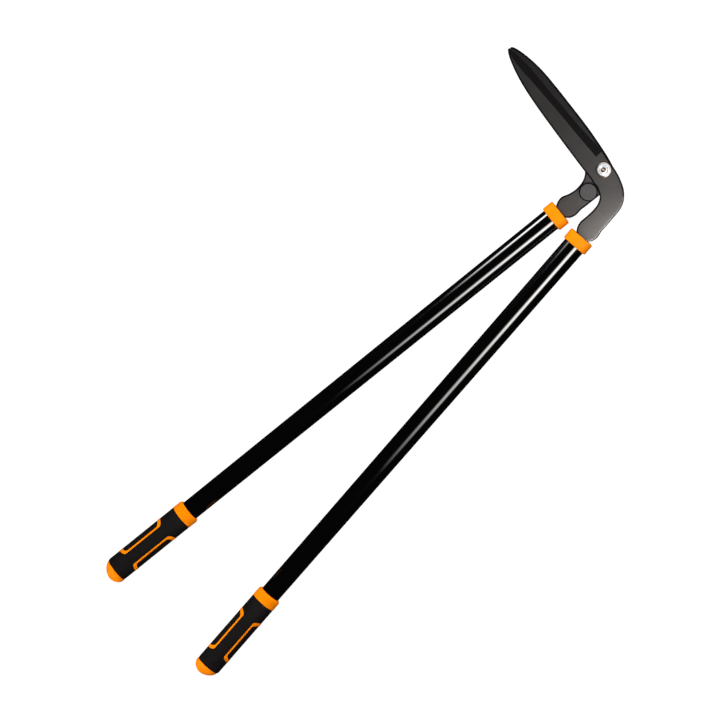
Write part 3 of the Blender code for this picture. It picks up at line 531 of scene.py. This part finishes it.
def finish(name, dark, light, tone_scale, gloss, gloss_scale, grain_values, **constants):
    """A material whose colour drifts between two tones and whose roughness between two levels."""
    material = bpy.data.materials.new(name)
    material.use_nodes = True
    tree = material.node_tree
    shader = tree.nodes["Principled BSDF"]
    for label, value in constants.items():
        shader.inputs[label.replace("_", " ")].default_value = value
    tone = tree.nodes.new("ShaderNodeGroup")
    tone.node_tree = mottle
    tone.inputs["Scale"].default_value = tone_scale
    blend = tree.nodes.new("ShaderNodeMix")
    blend.data_type = "RGBA"
    blend.inputs["A"].default_value = dark
    blend.inputs["B"].default_value = light
    tree.links.new(tone.outputs["Value"], blend.inputs["Factor"])
    tree.links.new(blend.outputs["Result"], shader.inputs["Base Color"])
    sheen = tree.nodes.new("ShaderNodeGroup")
    sheen.node_tree = mottle
    sheen.inputs["Scale"].default_value = gloss_scale
    sheen.inputs["Low"].default_value = gloss[0]
    sheen.inputs["High"].default_value = gloss[1]
    tree.links.new(sheen.outputs["Value"], shader.inputs["Roughness"])
    skin = tree.nodes.new("ShaderNodeGroup")
    skin.node_tree = grain
    for label, value in zip(("Scale", "Height", "Strength"), grain_values):
        skin.inputs[label].default_value = value
    tree.links.new(skin.outputs["Normal"], shader.inputs["Normal"])
    return material


STEEL_SCALES = (60.0, 300.0)
STEEL_GRAIN = (1400.0, 0.00002, 0.15)
GROUND_GRAIN = (1400.0, 0.00001, 0.15)


def steel(name, dark, light, gloss, grain_values, **constants):
    """A finish of the plates, whose clouds all have one size."""
    return finish(name, dark, light, STEEL_SCALES[0], gloss, STEEL_SCALES[1], grain_values,
                  **constants)


coated = steel("coated_plate", (0.070, 0.066, 0.064, 1.0), (0.080, 0.076, 0.074, 1.0),
               (0.39, 0.43), STEEL_GRAIN, Metallic=1.0)
# Black painted shade for the plates' rims and cut walls, the buffer's outer ring and the washers'
# edges.
rim_painted_shade = steel("painted_shade_rim", linear(6, 5, 5), linear(10, 9, 9), (0.50, 0.60),
                  (1400.0, 0.00002, 0.25), Specular_IOR_Level=0.04)
# A brighter copy of the coating: a painted highlight on the right tang's top band.
painted_highlight_band = steel("painted_highlight_band", (0.150, 0.143, 0.139, 1.0), (0.166, 0.158, 0.154, 1.0),
                   (0.39, 0.43), STEEL_GRAIN, Metallic=1.0)
ground = steel("ground_hollow", linear(10, 9, 9), linear(12, 11, 11), (0.36, 0.40), GROUND_GRAIN,
               Specular_IOR_Level=0.06)
honed = steel("honed_edge", (0.046, 0.043, 0.042, 1.0), (0.052, 0.049, 0.048, 1.0), (0.36, 0.40),
              GROUND_GRAIN, Metallic=1.0)

upper_low = BLADE_GAP / 2
lower_low = -BLADE_GAP / 2 - PLATE
for name, body, outline, low, grind, side, mouth in (
        ("upper_blade_plate", "upper_half", upper_outline(), upper_low,
         (upper_rows, upper_tip, 1, upper_low + PLATE, 1), 1, RIGHT_MOUTH),
        ("lower_blade_plate", "lower_half", lower_outline(), lower_low,
         (lower_rows, lower_tip, 2, lower_low, -1), -1, LEFT_MOUTH)):
    plate = as_object(name, plate_shape(outline, low))
    for material in (coated, rim_painted_shade, ground, honed, painted_highlight_band):
        plate.data.materials.append(material)
    under = pivot.z + low - MM
    over = pivot.z + low + PLATE + MM
    pin_spot = handle_place(side) @ Vector((0, (mouth - PIN_BEHIND) * MM, 0))
    tools = [hollow_tool(name + "_hollow", *grind),
             drill(name + "_bolt_hole", BOLT_RADIUS + FIT_GAP, under, over, pivot),
             drill(name + "_pin_hole", PIN_HOLE_RADIUS, under, over, pin_spot)]
    if body == "lower_half":
        tools.append(drill("stem_hole", STEM_RADIUS + FIT_GAP, under, over, stem_spot))
    carve(plate, tools)
    smooth_by_angle(plate, 35.0)
    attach(plate, body)
    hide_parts(name.replace("_plate", ""))


# Stop buffer. A grey rubber disc with a faint crown, its outer ring painted black as shade, held
# by a stem through the lower tang that spreads into a button underneath. The upper plate closes
# against its side.
BUFFER_EDGE = 1.2 * MM
BUFFER_SHADE_RING = 1.7 * MM
BUFFER_CHAMFER = 0.3 * MM
BUTTON_RADIUS = 6.0 * MM
BUTTON_EDGE = 0.9 * MM
BUTTON = 1.8 * MM


def turned(name, profile, spot, steps=96):
    """A solid of revolution about the vertical through a spot, from (radius, height) points."""
    shape = bmesh.new()
    verts = [shape.verts.new((radius, 0, height)) for radius, height in profile]
    edges = [shape.edges.new(pair) for pair in zip(verts, verts[1:])]
    if profile[0][0] > 0:
        edges.append(shape.edges.new((verts[-1], verts[0])))
    bmesh.ops.spin(shape, geom=verts + edges, cent=(0, 0, 0), axis=(0, 0, 1), dvec=(0, 0, 0),
                   angle=2 * math.pi, steps=steps, use_merge=True, use_duplicate=False)
    bmesh.ops.remove_doubles(shape, verts=shape.verts, dist=1e-7)
    bmesh.ops.translate(shape, verts=shape.verts, vec=spot)
    return as_object(name, shape)


buffer_base = -BLADE_GAP / 2 + FIT_GAP
buffer_top = BLADE_GAP / 2 + PLATE + FIT_GAP
button_top = lower_low - FIT_GAP
rim = arc((BUFFER_RADIUS - BUFFER_EDGE, buffer_top - BUFFER_EDGE), BUFFER_EDGE, 0, 80, 6)
button_flat = BUTTON_RADIUS - BUTTON_EDGE
button_rim = arc((button_flat, button_top - BUTTON_EDGE), BUTTON_EDGE, -90, 0, 5)
crown = [(radius, buffer_top + rise * MM) for radius, rise in (
    (BUFFER_RADIUS - BUFFER_SHADE_RING, 0.03), (BUFFER_RADIUS * 0.6, 0.25), (0, 0.35))]
buffer = turned("rubber_buffer", [
    (0, button_top - BUTTON), *[tuple(p) for p in button_rim], (BUTTON_RADIUS, button_top),
    (STEM_RADIUS, button_top), (STEM_RADIUS, buffer_base),
    (BUFFER_RADIUS - BUFFER_CHAMFER, buffer_base), (BUFFER_RADIUS, buffer_base + BUFFER_CHAMFER),
    *[tuple(p) for p in rim], *crown], stem_spot)
buffer.data.materials.append(finish(
    "grey_rubber", linear(53, 50, 51), linear(59, 56, 57), 90.0, (0.52, 0.62), 400.0,
    (1100.0, 0.00003, 0.35), Specular_IOR_Level=0.3))
buffer.data.materials.append(rim_painted_shade)
# Faces round the outside of the disc take the black painted shade.
for face in buffer.data.polygons:
    outside = (face.center.xy - stem_spot.xy).length > BUFFER_RADIUS - BUFFER_SHADE_RING
    face.material_index = 1 if outside else 0
smooth_by_angle(buffer)
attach(buffer, "lower_half")
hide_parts("stop_buffer")


# Pivot set. A flanged button-head screw with a hexagon socket runs down through a washer, both
# plates and a second washer into a lock nut with a nylon ring. The metal is bright plated steel.
# The washers darken with painted shade towards the grips' side and carry a black painted shadow
# round their outer edges, and the socket is brown with painted shade on two opposite sides.
WASHER_RADIUS = 11.8 * MM
WASHER = 1.6 * MM
WASHER_CHAMFER = 0.35 * MM
# The rounding of the washers' outer edges; past its start the steep faces are painted black as
# shadow.
WASHER_EDGE_ROUND = 1.1 * MM
STEEP = 0.8
FLANGE_RADIUS = 8.75 * MM
FLANGE = 1.2 * MM
HEAD_RADIUS = 7.2 * MM
HEAD = 4.4 * MM
HEAD_FLAT_RADIUS = 4.4 * MM
SOCKET = 5.0 * MM
SOCKET_DEPTH = 2.8 * MM
SOCKET_MOUTH = 4.1 * MM
SOCKET_CHAMFER = 0.8 * MM
SCREW_PAST_NUT = 1.5 * MM
NUT = 8.0 * MM
NUT_HEXAGON = 5.6 * MM
NUT_WALL = 0.9 * MM
NUT_CHAMFER = 0.8 * MM
NUT_LIP = 0.5 * MM
NYLON = 1.6 * MM
NYLON_WALL = 1.0 * MM

PLATED_GRAIN = (700.0, 0.000012, 0.25)
bright = finish("bright_plating", linear(204, 189, 182), linear(222, 209, 203), 260.0,
                (0.30, 0.38), 500.0, PLATED_GRAIN, Metallic=0.8)
polished = finish("polished_head", linear(236, 240, 242), linear(246, 249, 251), 260.0,
                  (0.24, 0.32), 500.0, PLATED_GRAIN, Metallic=0.6)


def painted_shade_copy(unshaded, name, colour, direction, start, stop, both_sides=False):
    """A copy of a finish with painted shade: it darkens to a colour towards one side of the pivot,
    or to both. The shade starts and is full at the given distances from the pivot along the
    direction."""
    material = unshaded.copy()
    material.name = name
    tree = material.node_tree
    shader = tree.nodes["Principled BSDF"]
    base = shader.inputs["Base Color"].links[0].from_socket
    towards = Vector(direction).normalized()
    place = tree.nodes.new("ShaderNodeTexCoord")
    reach = tree.nodes.new("ShaderNodeVectorMath")
    reach.operation = "DOT_PRODUCT"
    reach.inputs[1].default_value = towards
    past = tree.nodes.new("ShaderNodeMath")
    past.operation = "SUBTRACT"
    past.inputs[1].default_value = towards.dot(pivot)
    shade_share = node(tree, "ShaderNodeMapRange", From_Min=start, From_Max=stop)
    blend = tree.nodes.new("ShaderNodeMix")
    blend.data_type = "RGBA"
    blend.inputs["B"].default_value = colour
    tree.links.new(place.outputs["Object"], reach.inputs[0])
    tree.links.new(reach.outputs["Value"], past.inputs[0])
    distance = past.outputs["Value"]
    if both_sides:
        size = tree.nodes.new("ShaderNodeMath")
        size.operation = "ABSOLUTE"
        tree.links.new(distance, size.inputs[0])
        distance = size.outputs["Value"]
    tree.links.new(distance, shade_share.inputs["Value"])
    tree.links.new(shade_share.outputs["Result"], blend.inputs["Factor"])
    tree.links.new(base, blend.inputs["A"])
    tree.links.new(blend.outputs["Result"], shader.inputs["Base Color"])
    return material


# The washers' plating, with painted shade that darkens it towards the grips' side.
painted_shade_plating = painted_shade_copy(bright, "painted_shade_plating", linear(84, 76, 72), (-0.35, -0.94, 0),
                        -2.5 * MM, 5.0 * MM)
washer_low = upper_low + PLATE + FIT_GAP
head_low = washer_low + WASHER + FIT_GAP
head_top = head_low + HEAD
rear_low = lower_low - FIT_GAP - WASHER
nut_high = rear_low - FIT_GAP
nut_low = nut_high - NUT
bore = BOLT_RADIUS + FIT_GAP

for name, low in (("front_washer", washer_low), ("rear_washer", rear_low)):
    outer = arc((WASHER_RADIUS - WASHER_EDGE_ROUND, low + WASHER - WASHER_EDGE_ROUND), WASHER_EDGE_ROUND, 0, 90, 8)
    profile = [(bore, low), (WASHER_RADIUS, low), *[tuple(p) for p in outer],
               (bore + WASHER_CHAMFER, low + WASHER), (bore, low + WASHER - WASHER_CHAMFER)]
    ring = turned(name + "_ring", profile, pivot, 128)
    ring.data.materials.append(painted_shade_plating)
    ring.data.materials.append(rim_painted_shade)
    # The steep faces round the washer's outer edge take the black painted shadow.
    for face in ring.data.polygons:
        outside = (face.center.xy - pivot.xy).length > WASHER_RADIUS - WASHER_EDGE_ROUND
        face.material_index = 1 if outside and abs(face.normal.z) < STEEP else 0
    smooth_by_angle(ring)
    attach(ring, "lower_half")
    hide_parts(name)

flange_high = head_low + FLANGE
shoulder = flange_high + 0.2 * MM
bend = HEAD_RADIUS - HEAD_FLAT_RADIUS
dome = [(HEAD_FLAT_RADIUS + bend * math.cos(math.radians(angle)),
         shoulder + (head_top - shoulder) * math.sin(math.radians(angle)))
        for angle in range(0, 90, 8)]
tip_low = nut_low - SCREW_PAST_NUT
thread = [(0, tip_low), (BOLT_RADIUS - 0.8 * MM, tip_low), (BOLT_RADIUS, tip_low + 0.8 * MM),
          (BOLT_RADIUS - 0.35 * MM, tip_low + 1.15 * MM), (BOLT_RADIUS, tip_low + 1.5 * MM)]
flange = [(FLANGE_RADIUS - 0.2 * MM, head_low), (FLANGE_RADIUS, head_low + 0.2 * MM),
          (FLANGE_RADIUS, flange_high - 0.35 * MM),
          (FLANGE_RADIUS - 0.1 * MM, flange_high - 0.1 * MM),
          (FLANGE_RADIUS - 0.35 * MM, flange_high), (HEAD_RADIUS + 0.2 * MM, flange_high)]
socket_brown = finish("socket_brown", linear(150, 112, 86), linear(208, 174, 146), 600.0,
                      (0.35, 0.5), 500.0, (900.0, 0.00002, 0.3), Metallic=0.3)
# The socket's brown is darkened with painted shade on two opposite sides of the pivot.
socket_shade = painted_shade_copy(socket_brown, "socket_shade", linear(14, 9, 6), (-0.19, 0.98, 0), 0.4 * MM,
                      2.2 * MM, both_sides=True)
screw = turned("pivot_screw", [*thread, (BOLT_RADIUS, head_low), *flange, *dome,
                               (HEAD_FLAT_RADIUS, head_top), (0, head_top)], pivot, 128)
screw.data.materials.append(polished)
screw.data.materials.append(socket_shade)


def hexagon_bar(name, across, low, high, spot):
    """An upright hexagonal bar, its width given across the flats."""
    shape = bmesh.new()
    corner = across / math.sqrt(3)
    bmesh.ops.create_cone(shape, cap_ends=True, segments=6, radius1=corner, radius2=corner,
                          depth=high - low)
    bmesh.ops.rotate(shape, verts=shape.verts, cent=(0, 0, 0),
                     matrix=Matrix.Rotation(math.pi / 2, 3, "Z"))
    bmesh.ops.translate(shape, verts=shape.verts,
                        vec=(spot[0], spot[1], spot[2] + (low + high) / 2))
    return as_object(name, shape)


mouth_low = head_top - SOCKET_CHAMFER
mouth_high = head_top + 0.35 * MM
socket_mouth = turned("socket_mouth", [
    (0, mouth_low), (SOCKET / 2, mouth_low), (SOCKET_MOUTH, head_top),
    (SOCKET_MOUTH, mouth_high), (0, mouth_high)], pivot, 64)
socket = hexagon_bar("socket", SOCKET, head_top - SOCKET_DEPTH, head_top + MM, pivot)
# The socket's walls and mouth take the brown with its painted shade.
for tool in (socket_mouth, socket):
    for face in tool.data.polygons:
        face.material_index = 1
carve(screw, [socket_mouth, socket])
smooth_by_angle(screw)
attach(screw, "lower_half")
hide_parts("pivot_bolt")

nylon_outer = bore + NYLON_WALL
nylon_room = nylon_outer + FIT_GAP
nut_flat = nylon_room + NUT_WALL
nut_corner = 2 * nut_flat / math.sqrt(3) + 0.4 * MM
nut_collar = nut_flat - 0.3 * MM
hexagon_low = nut_high - NUT_HEXAGON
nut = hexagon_bar("lock_nut_body", 2 * nut_flat, nut_low, nut_high, pivot)
nut.data.materials.append(bright)
barrel = turned("nut_barrel", [
    (0, nut_low), (nut_collar - 0.6 * MM, nut_low), (nut_collar - 0.2 * MM, nut_low + 0.2 * MM),
    (nut_collar, nut_low + 0.6 * MM), (nut_collar, hexagon_low), (nut_flat, hexagon_low),
    (nut_corner, hexagon_low + NUT_CHAMFER), (nut_corner, nut_high - NUT_CHAMFER),
    (nut_flat, nut_high), (0, nut_high)], pivot, 128)
carve(nut, [barrel], "INTERSECT")
nylon_roof = nut_low + NUT_LIP + NYLON + FIT_GAP
hollow = turned("nut_hollow", [
    (0, nut_low - MM), (nylon_room, nut_low - MM), (nylon_room, nylon_roof),
    (bore, nylon_roof), (bore, nut_high + MM), (0, nut_high + MM)], pivot, 96)
carve(nut, [hollow])
smooth_by_angle(nut)
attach(nut, "lower_half")
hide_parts("lock_nut")

nylon = finish("black_nylon", linear(30, 30, 31), linear(38, 38, 39), 120.0, (0.42, 0.52), 500.0,
               (900.0, 0.00002, 0.3))


def dress(name, material):
    """Gives a solid that keeps its own shape its finish."""
    shown = frame["nodes"][name].data
    shown.materials.clear()
    shown.materials.append(material)


dress("lock_nut_ring", nylon)


# Tubes. Each handle is a drawn steel tube of oval section that narrows evenly towards the grip,
# sprayed in deep gloss black.
RING_START = 716.4 * MM
SLEEVE_END = 863.4 * MM
COLLAR_WALL = 3.0 * MM
TUBE_WALL = 1.0 * MM
TUBE_SEAT = 4.0 * MM
TUBE_WIDE, TUBE_WIDE_TAPER = 34.2, 3.1
TUBE_DEEP, TUBE_DEEP_TAPER = 27.5, 3.0

gloss_black = finish("gloss_black_paint", linear(1, 1, 1), linear(2, 2, 2), 30.0, (0.10, 0.13),
                     40.0, (60.0, 0.00002, 0.05), Coat_Weight=1.0, Coat_Roughness=0.05)


def tube_half(y):
    """Half width and half depth of a tube at a place along its handle, in metres."""
    share = -y / RING_START
    return ((TUBE_WIDE - TUBE_WIDE_TAPER * share) / 2 * MM,
            (TUBE_DEEP - TUBE_DEEP_TAPER * share) / 2 * MM)


def oval_loft(name, side, rings, count=96, closed=True):
    """A skin of ovals strung along a handle. A ring is half width, half depth, y and sideways
    shift; closed puts caps on its ends, otherwise the last ring joins the first."""
    shape = bmesh.new()
    first = bmesh.ops.create_circle(shape, cap_ends=False, segments=count, radius=1.0)["verts"]
    rim = list(dict.fromkeys(edge for vertex in first for edge in vertex.link_edges))
    start = rim
    for index, (half_width, half_depth, y, shift) in enumerate(rings):
        if index:
            grown = bmesh.ops.extrude_edge_only(shape, edges=rim)["geom"]
            verts = [item for item in grown if isinstance(item, bmesh.types.BMVert)]
            added = set(verts)
            rim = [item for item in grown if isinstance(item, bmesh.types.BMEdge)
                   and all(vertex in added for vertex in item.verts)]
        else:
            verts = first
        old_width, old_depth, _, old_shift = rings[index - 1] if index else (1, 1, 0, 0)
        for vertex in verts:
            if index:
                across = (vertex.co.x - old_shift) / old_width
                upward = vertex.co.z / old_depth
            else:
                across, upward = vertex.co.x, vertex.co.y
            vertex.co = Vector((across * half_width + shift, y, upward * half_depth))
    if closed:
        bmesh.ops.contextual_create(shape, geom=start)
        bmesh.ops.contextual_create(shape, geom=rim)
    else:
        bmesh.ops.bridge_loops(shape, edges=start + rim)
    bmesh.ops.transform(shape, verts=shape.verts, matrix=handle_place(side))
    return as_object(name, shape)


def tube_ring(y, inset):
    """A ring for oval_loft that lies inside the tube's outside by an inset."""
    half_width, half_depth = tube_half(y)
    return (half_width - inset, half_depth - inset, y, 0)


for name, side, body, mouth in HANDLES:
    start = mouth * MM - COLLAR_WALL - FIT_GAP
    rear = -SLEEVE_END + TUBE_SEAT
    tube = oval_loft(name + "_shaft", side, [
        tube_ring(start, 0), tube_ring(rear, 0), tube_ring(rear, TUBE_WALL),
        tube_ring(start, TUBE_WALL)], closed=False)
    tube.data.materials.append(gloss_black)
    smooth_by_angle(tube)
    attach(tube, body)
    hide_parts(name + "_tube")


# Collars. An orange moulding slips over each tube's end, flat above and below with rounded
# corners, and its front wall has a slot that the tang comes out of.
COLLAR_LENGTH = 17.8 * MM
COLLAR_WIDE = 41.2 * MM
COLLAR_DEEP = 33.0 * MM
COLLAR_CORNER = 12.5 * MM
COLLAR_EDGE = 1.8 * MM
SLOT_LENGTH = 6 * MM

orange = finish("orange_moulding", (0.93, 0.222, 0.0, 1.0), (0.95, 0.236, 0.0, 1.0), 25.0,
                (0.42, 0.50), 200.0, (900.0, 0.00002, 0.2), Specular_IOR_Level=0.04)

for name, side, body, mouth in HANDLES:
    shape = bmesh.new()
    bmesh.ops.create_cube(shape, size=1.0)
    bmesh.ops.scale(shape, verts=shape.verts, vec=(COLLAR_WIDE, COLLAR_LENGTH, COLLAR_DEEP))
    bmesh.ops.translate(shape, verts=shape.verts, vec=(0, mouth * MM - COLLAR_LENGTH / 2, 0))
    corners = [e for e in shape.edges
               if abs(e.verts[0].co.y - e.verts[1].co.y) > COLLAR_LENGTH / 2]
    round_edges(shape, corners, COLLAR_CORNER, 14)
    rims = [e for e in shape.edges if abs(e.verts[0].co.y - e.verts[1].co.y) < SAME_PLACE]
    round_edges(shape, rims, COLLAR_EDGE, 5)
    bmesh.ops.transform(shape, verts=shape.verts, matrix=handle_place(side))
    collar = as_object(name + "_collar_moulding", shape)
    collar.data.materials.append(orange)
    wall = mouth * MM - COLLAR_WALL
    rear = mouth * MM - COLLAR_LENGTH - MM
    bore_tool = oval_loft(name + "_bore", side,
                          [tube_ring(wall, -FIT_GAP), tube_ring(rear, -FIT_GAP)])
    slot_shape = bmesh.new()
    bmesh.ops.create_cube(slot_shape, size=1.0)
    bmesh.ops.scale(slot_shape, verts=slot_shape.verts,
                    vec=(TANG_WIDTH * MM + 2 * FIT_GAP, SLOT_LENGTH, PLATE + 2 * FIT_GAP))
    tang_z = side * (BLADE_GAP + PLATE) / 2
    bmesh.ops.translate(slot_shape, verts=slot_shape.verts,
                        vec=(0, mouth * MM - COLLAR_WALL / 2, tang_z))
    bmesh.ops.transform(slot_shape, verts=slot_shape.verts, matrix=handle_place(side))
    carve(collar, [bore_tool, as_object(name + "_slot", slot_shape)])
    smooth_by_angle(collar)
    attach(collar, body)
    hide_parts(name + "_collar")


# Inserts and pins. Inside each tube a black plug fills the room round the tang, and a steel pin
# crosses tube, plug and tang under the collar. They keep the shapes of their solids.
for name, *_ in HANDLES:
    dress(name + "_tang_insert", nylon)
    dress(name + "_tang_pin", bright)


# Grip cores. One hard orange moulding makes each grip's front ring, its end cap, which leans
# towards the other handle, and the slim ribs that frame the pads on its sides.
RING_LENGTH = 16.6 * MM
RING_SWELL = 0.2 * MM
RING_LIP = 0.9 * MM
RING_ROUND = 4.0 * MM
RING_STEPS = 8
GRIP_WIDE = 19.5 * MM
GRIP_DEEP = 16.5 * MM
SLEEVE_WALL = 2.2 * MM
CAP_LENGTH = 16.2 * MM
CAP_STEP = 0.6 * MM
CAP_SWEEP = math.radians(82)
CAP_SHAPE = 1.2
CAP_STEPS = 18
CAP_LEAN = (0.7, 2.6)
LOOP_FRONT = RING_START + RING_LENGTH + 26.2 * MM
LOOP_LENGTH = 80.8 * MM
ROLL_RADIUS = 18.0 * MM
LOOP_HALF = ROLL_RADIUS * math.radians(59.5)
LOOP_SLANT = 7.3 * MM
RIB_HIGH = 0.3 * MM
RIB_ROOT = 0.6 * MM
RIB_ROUND = 0.55 * MM
RIB_END_WIDTH = 5.2 * MM
RIB_RUN_WIDTH = ROLL_RADIUS * math.radians(8.8)


def loop_points(inset_ends, inset_side, count=32):
    """A pad loop's outline, unrolled flat: x runs round the grip and y along it, in metres."""
    first = -LOOP_FRONT - inset_ends
    last = first - LOOP_LENGTH + 2 * inset_ends
    front = []
    back = []
    for step in range(count + 1):
        turn = -math.pi / 2 + math.pi * step / count
        sink = LOOP_SLANT * (1 - math.cos(turn))
        x = (LOOP_HALF - inset_side) * math.sin(turn)
        front.append((x, first - sink))
        back.append((x, last + sink))
    return front + back[::-1]


def rolled_solid(name, side, direction, outline, low, high, hole=None, edge_round=0.0):
    """A flat shape raised from low to high, its top edges rounded, then bent on to a grip's side.
    With a hole the shape is the band between the two outlines."""
    shape = bmesh.new()
    loops = []
    for points in (outline, hole) if hole else (outline,):
        verts = [shape.verts.new((x, y, low)) for x, y in points]
        loops.append([shape.edges.new((a, b)) for a, b in zip(verts, verts[1:] + verts[:1])])
    if hole:
        bmesh.ops.bridge_loops(shape, edges=loops[0] + loops[1])
    else:
        half = len(outline) // 2
        for step in range(half - 1):
            near = (step, step + 1, len(outline) - 2 - step, len(outline) - 1 - step)
            shape.verts.ensure_lookup_table()
            shape.faces.new([shape.verts[index] for index in near])
    grown = bmesh.ops.extrude_face_region(shape, geom=list(shape.faces))
    raised = {item for item in grown["geom"] if isinstance(item, bmesh.types.BMVert)}
    bmesh.ops.translate(shape, verts=list(raised), vec=(0, 0, high - low))
    if edge_round:
        rim = [edge for edge in shape.edges if all(v in raised for v in edge.verts)
               and edge.calc_face_angle(0.0) > math.radians(50)]
        round_edges(shape, rim, edge_round, 4)
    for vertex in shape.verts:
        angle = vertex.co.x / ROLL_RADIUS
        out = Vector((math.cos(angle) / GRIP_WIDE, 0, math.sin(angle) / GRIP_DEEP)).normalized()
        skin = Vector((GRIP_WIDE * math.cos(angle), vertex.co.y, GRIP_DEEP * math.sin(angle)))
        point = skin + vertex.co.z * out
        vertex.co = Vector((direction * point.x, point.y, point.z))
    bmesh.ops.transform(shape, verts=shape.verts, matrix=handle_place(side))
    return as_object(name, shape)


for name, side, body, mouth in HANDLES:
    inner = -side
    ring_front = -RING_START
    ring_rear = ring_front - RING_LENGTH
    bore_end = -SLEEVE_END + TUBE_SEAT - FIT_GAP
    half_width, half_depth = tube_half(ring_front)
    lip = FIT_GAP + RING_LIP
    ring_wide = GRIP_WIDE + RING_SWELL
    rings = [tube_ring(bore_end, -FIT_GAP), tube_ring(ring_front, -FIT_GAP),
             tube_ring(ring_front, -lip)]
    for step in range(1, RING_STEPS + 1):
        angle = math.pi / 2 * step / RING_STEPS
        share = math.sin(angle)
        rings.append((half_width + lip + (ring_wide - half_width - lip) * share,
                      half_depth + lip + (GRIP_DEEP - half_depth - lip) * share,
                      ring_front - RING_ROUND * (1 - math.cos(angle)), 0))
    rings.append((ring_wide, GRIP_DEEP, ring_rear + 0.5 * MM, 0))
    rings.append((GRIP_WIDE + 0.05 * MM, GRIP_DEEP - 0.15 * MM, ring_rear + 0.12 * MM, 0))
    rings.append((GRIP_WIDE - 0.3 * MM, GRIP_DEEP - 0.5 * MM, ring_rear, 0))
    neck = SLEEVE_WALL + FIT_GAP
    rings.append((GRIP_WIDE - neck, GRIP_DEEP - neck, ring_rear, 0))
    rings.append((GRIP_WIDE - neck, GRIP_DEEP - neck, -SLEEVE_END, 0))
    for step in range(CAP_STEPS + 1):
        angle = CAP_SWEEP * step / CAP_STEPS
        share = math.sin(angle) / math.sin(CAP_SWEEP)
        size = math.cos(angle) ** CAP_SHAPE
        rings.append(((GRIP_WIDE - CAP_STEP) * size, (GRIP_DEEP - CAP_STEP) * size,
                      -SLEEVE_END - CAP_LENGTH * share,
                      inner * (CAP_LEAN[0] + CAP_LEAN[1] * share) * MM))
    core = oval_loft(name + "_grip_body", side, rings)
    core.data.materials.append(orange)
    ribs = [rolled_solid(f"{name}_rib_{direction}", side, direction, loop_points(0, 0),
                         -neck - RIB_ROOT, RIB_HIGH, loop_points(RIB_END_WIDTH, RIB_RUN_WIDTH),
                         RIB_ROUND) for direction in (-1, 1)]
    carve(core, ribs, "UNION")
    smooth_by_angle(core)
    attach(core, body)
    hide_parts(name + "_grip_core")


# Sleeves. Soft black rubber is moulded round each core from the ring to the cap, with a window
# on each side where the ribs and pads show. Its ends round in where they meet ring and cap.
WINDOW = (-4 * MM, 2 * MM)

soft = finish("soft_touch_black", linear(17, 14, 14), linear(21, 18, 18), 70.0, (0.60, 0.70), 300.0,
              (1300.0, 0.00004, 0.35), Specular_IOR_Level=0.1)

for name, side, body, mouth in HANDLES:
    front = -RING_START - RING_LENGTH - FIT_GAP
    rear = -SLEEVE_END + FIT_GAP
    profile = [(front, 0.5), (front - 0.15 * MM, 0.2), (front - 0.5 * MM, 0.0),
               (rear + 3.2 * MM, 0.0), (rear + 2.0 * MM, 0.12), (rear + 0.8 * MM, 0.4),
               (rear + 0.2 * MM, 0.8), (rear, 1.2)]
    rings = [(GRIP_WIDE - draw_in * MM, GRIP_DEEP - draw_in * MM, y, 0) for y, draw_in in profile]
    rings.append((GRIP_WIDE - SLEEVE_WALL, GRIP_DEEP - SLEEVE_WALL, rear, 0))
    rings.append((GRIP_WIDE - SLEEVE_WALL, GRIP_DEEP - SLEEVE_WALL, front, 0))
    sleeve = oval_loft(name + "_soft_sleeve", side, rings, closed=False)
    sleeve.data.materials.append(soft)
    windows = [rolled_solid(f"{name}_window_{direction}", side, direction,
                            loop_points(-FIT_GAP, -FIT_GAP), *WINDOW)
               for direction in (-1, 1)]
    carve(sleeve, windows)
    smooth_by_angle(sleeve)
    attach(sleeve, body)
    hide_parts(name + "_grip_sleeve")


# Side pads. Inside each loop of rib lies a pad of the same soft rubber, moulded on to the core
# and level with the sleeve, with its edge rounded.
PAD_DEPTH = 1.9 * MM
PAD_ROUND = 0.4 * MM

for name, side, body, mouth in HANDLES:
    for label, direction in (("outer", side), ("inner", -side)):
        pad = rolled_solid(f"{name}_{label}_soft_pad", side, direction,
                           loop_points(RIB_END_WIDTH + FIT_GAP, RIB_RUN_WIDTH + FIT_GAP),
                           -PAD_DEPTH, 0.0, edge_round=PAD_ROUND)
        pad.data.materials.append(soft)
        smooth_by_angle(pad, 40.0)
        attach(pad, body)
        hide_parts(f"{name}_{label}_pad")
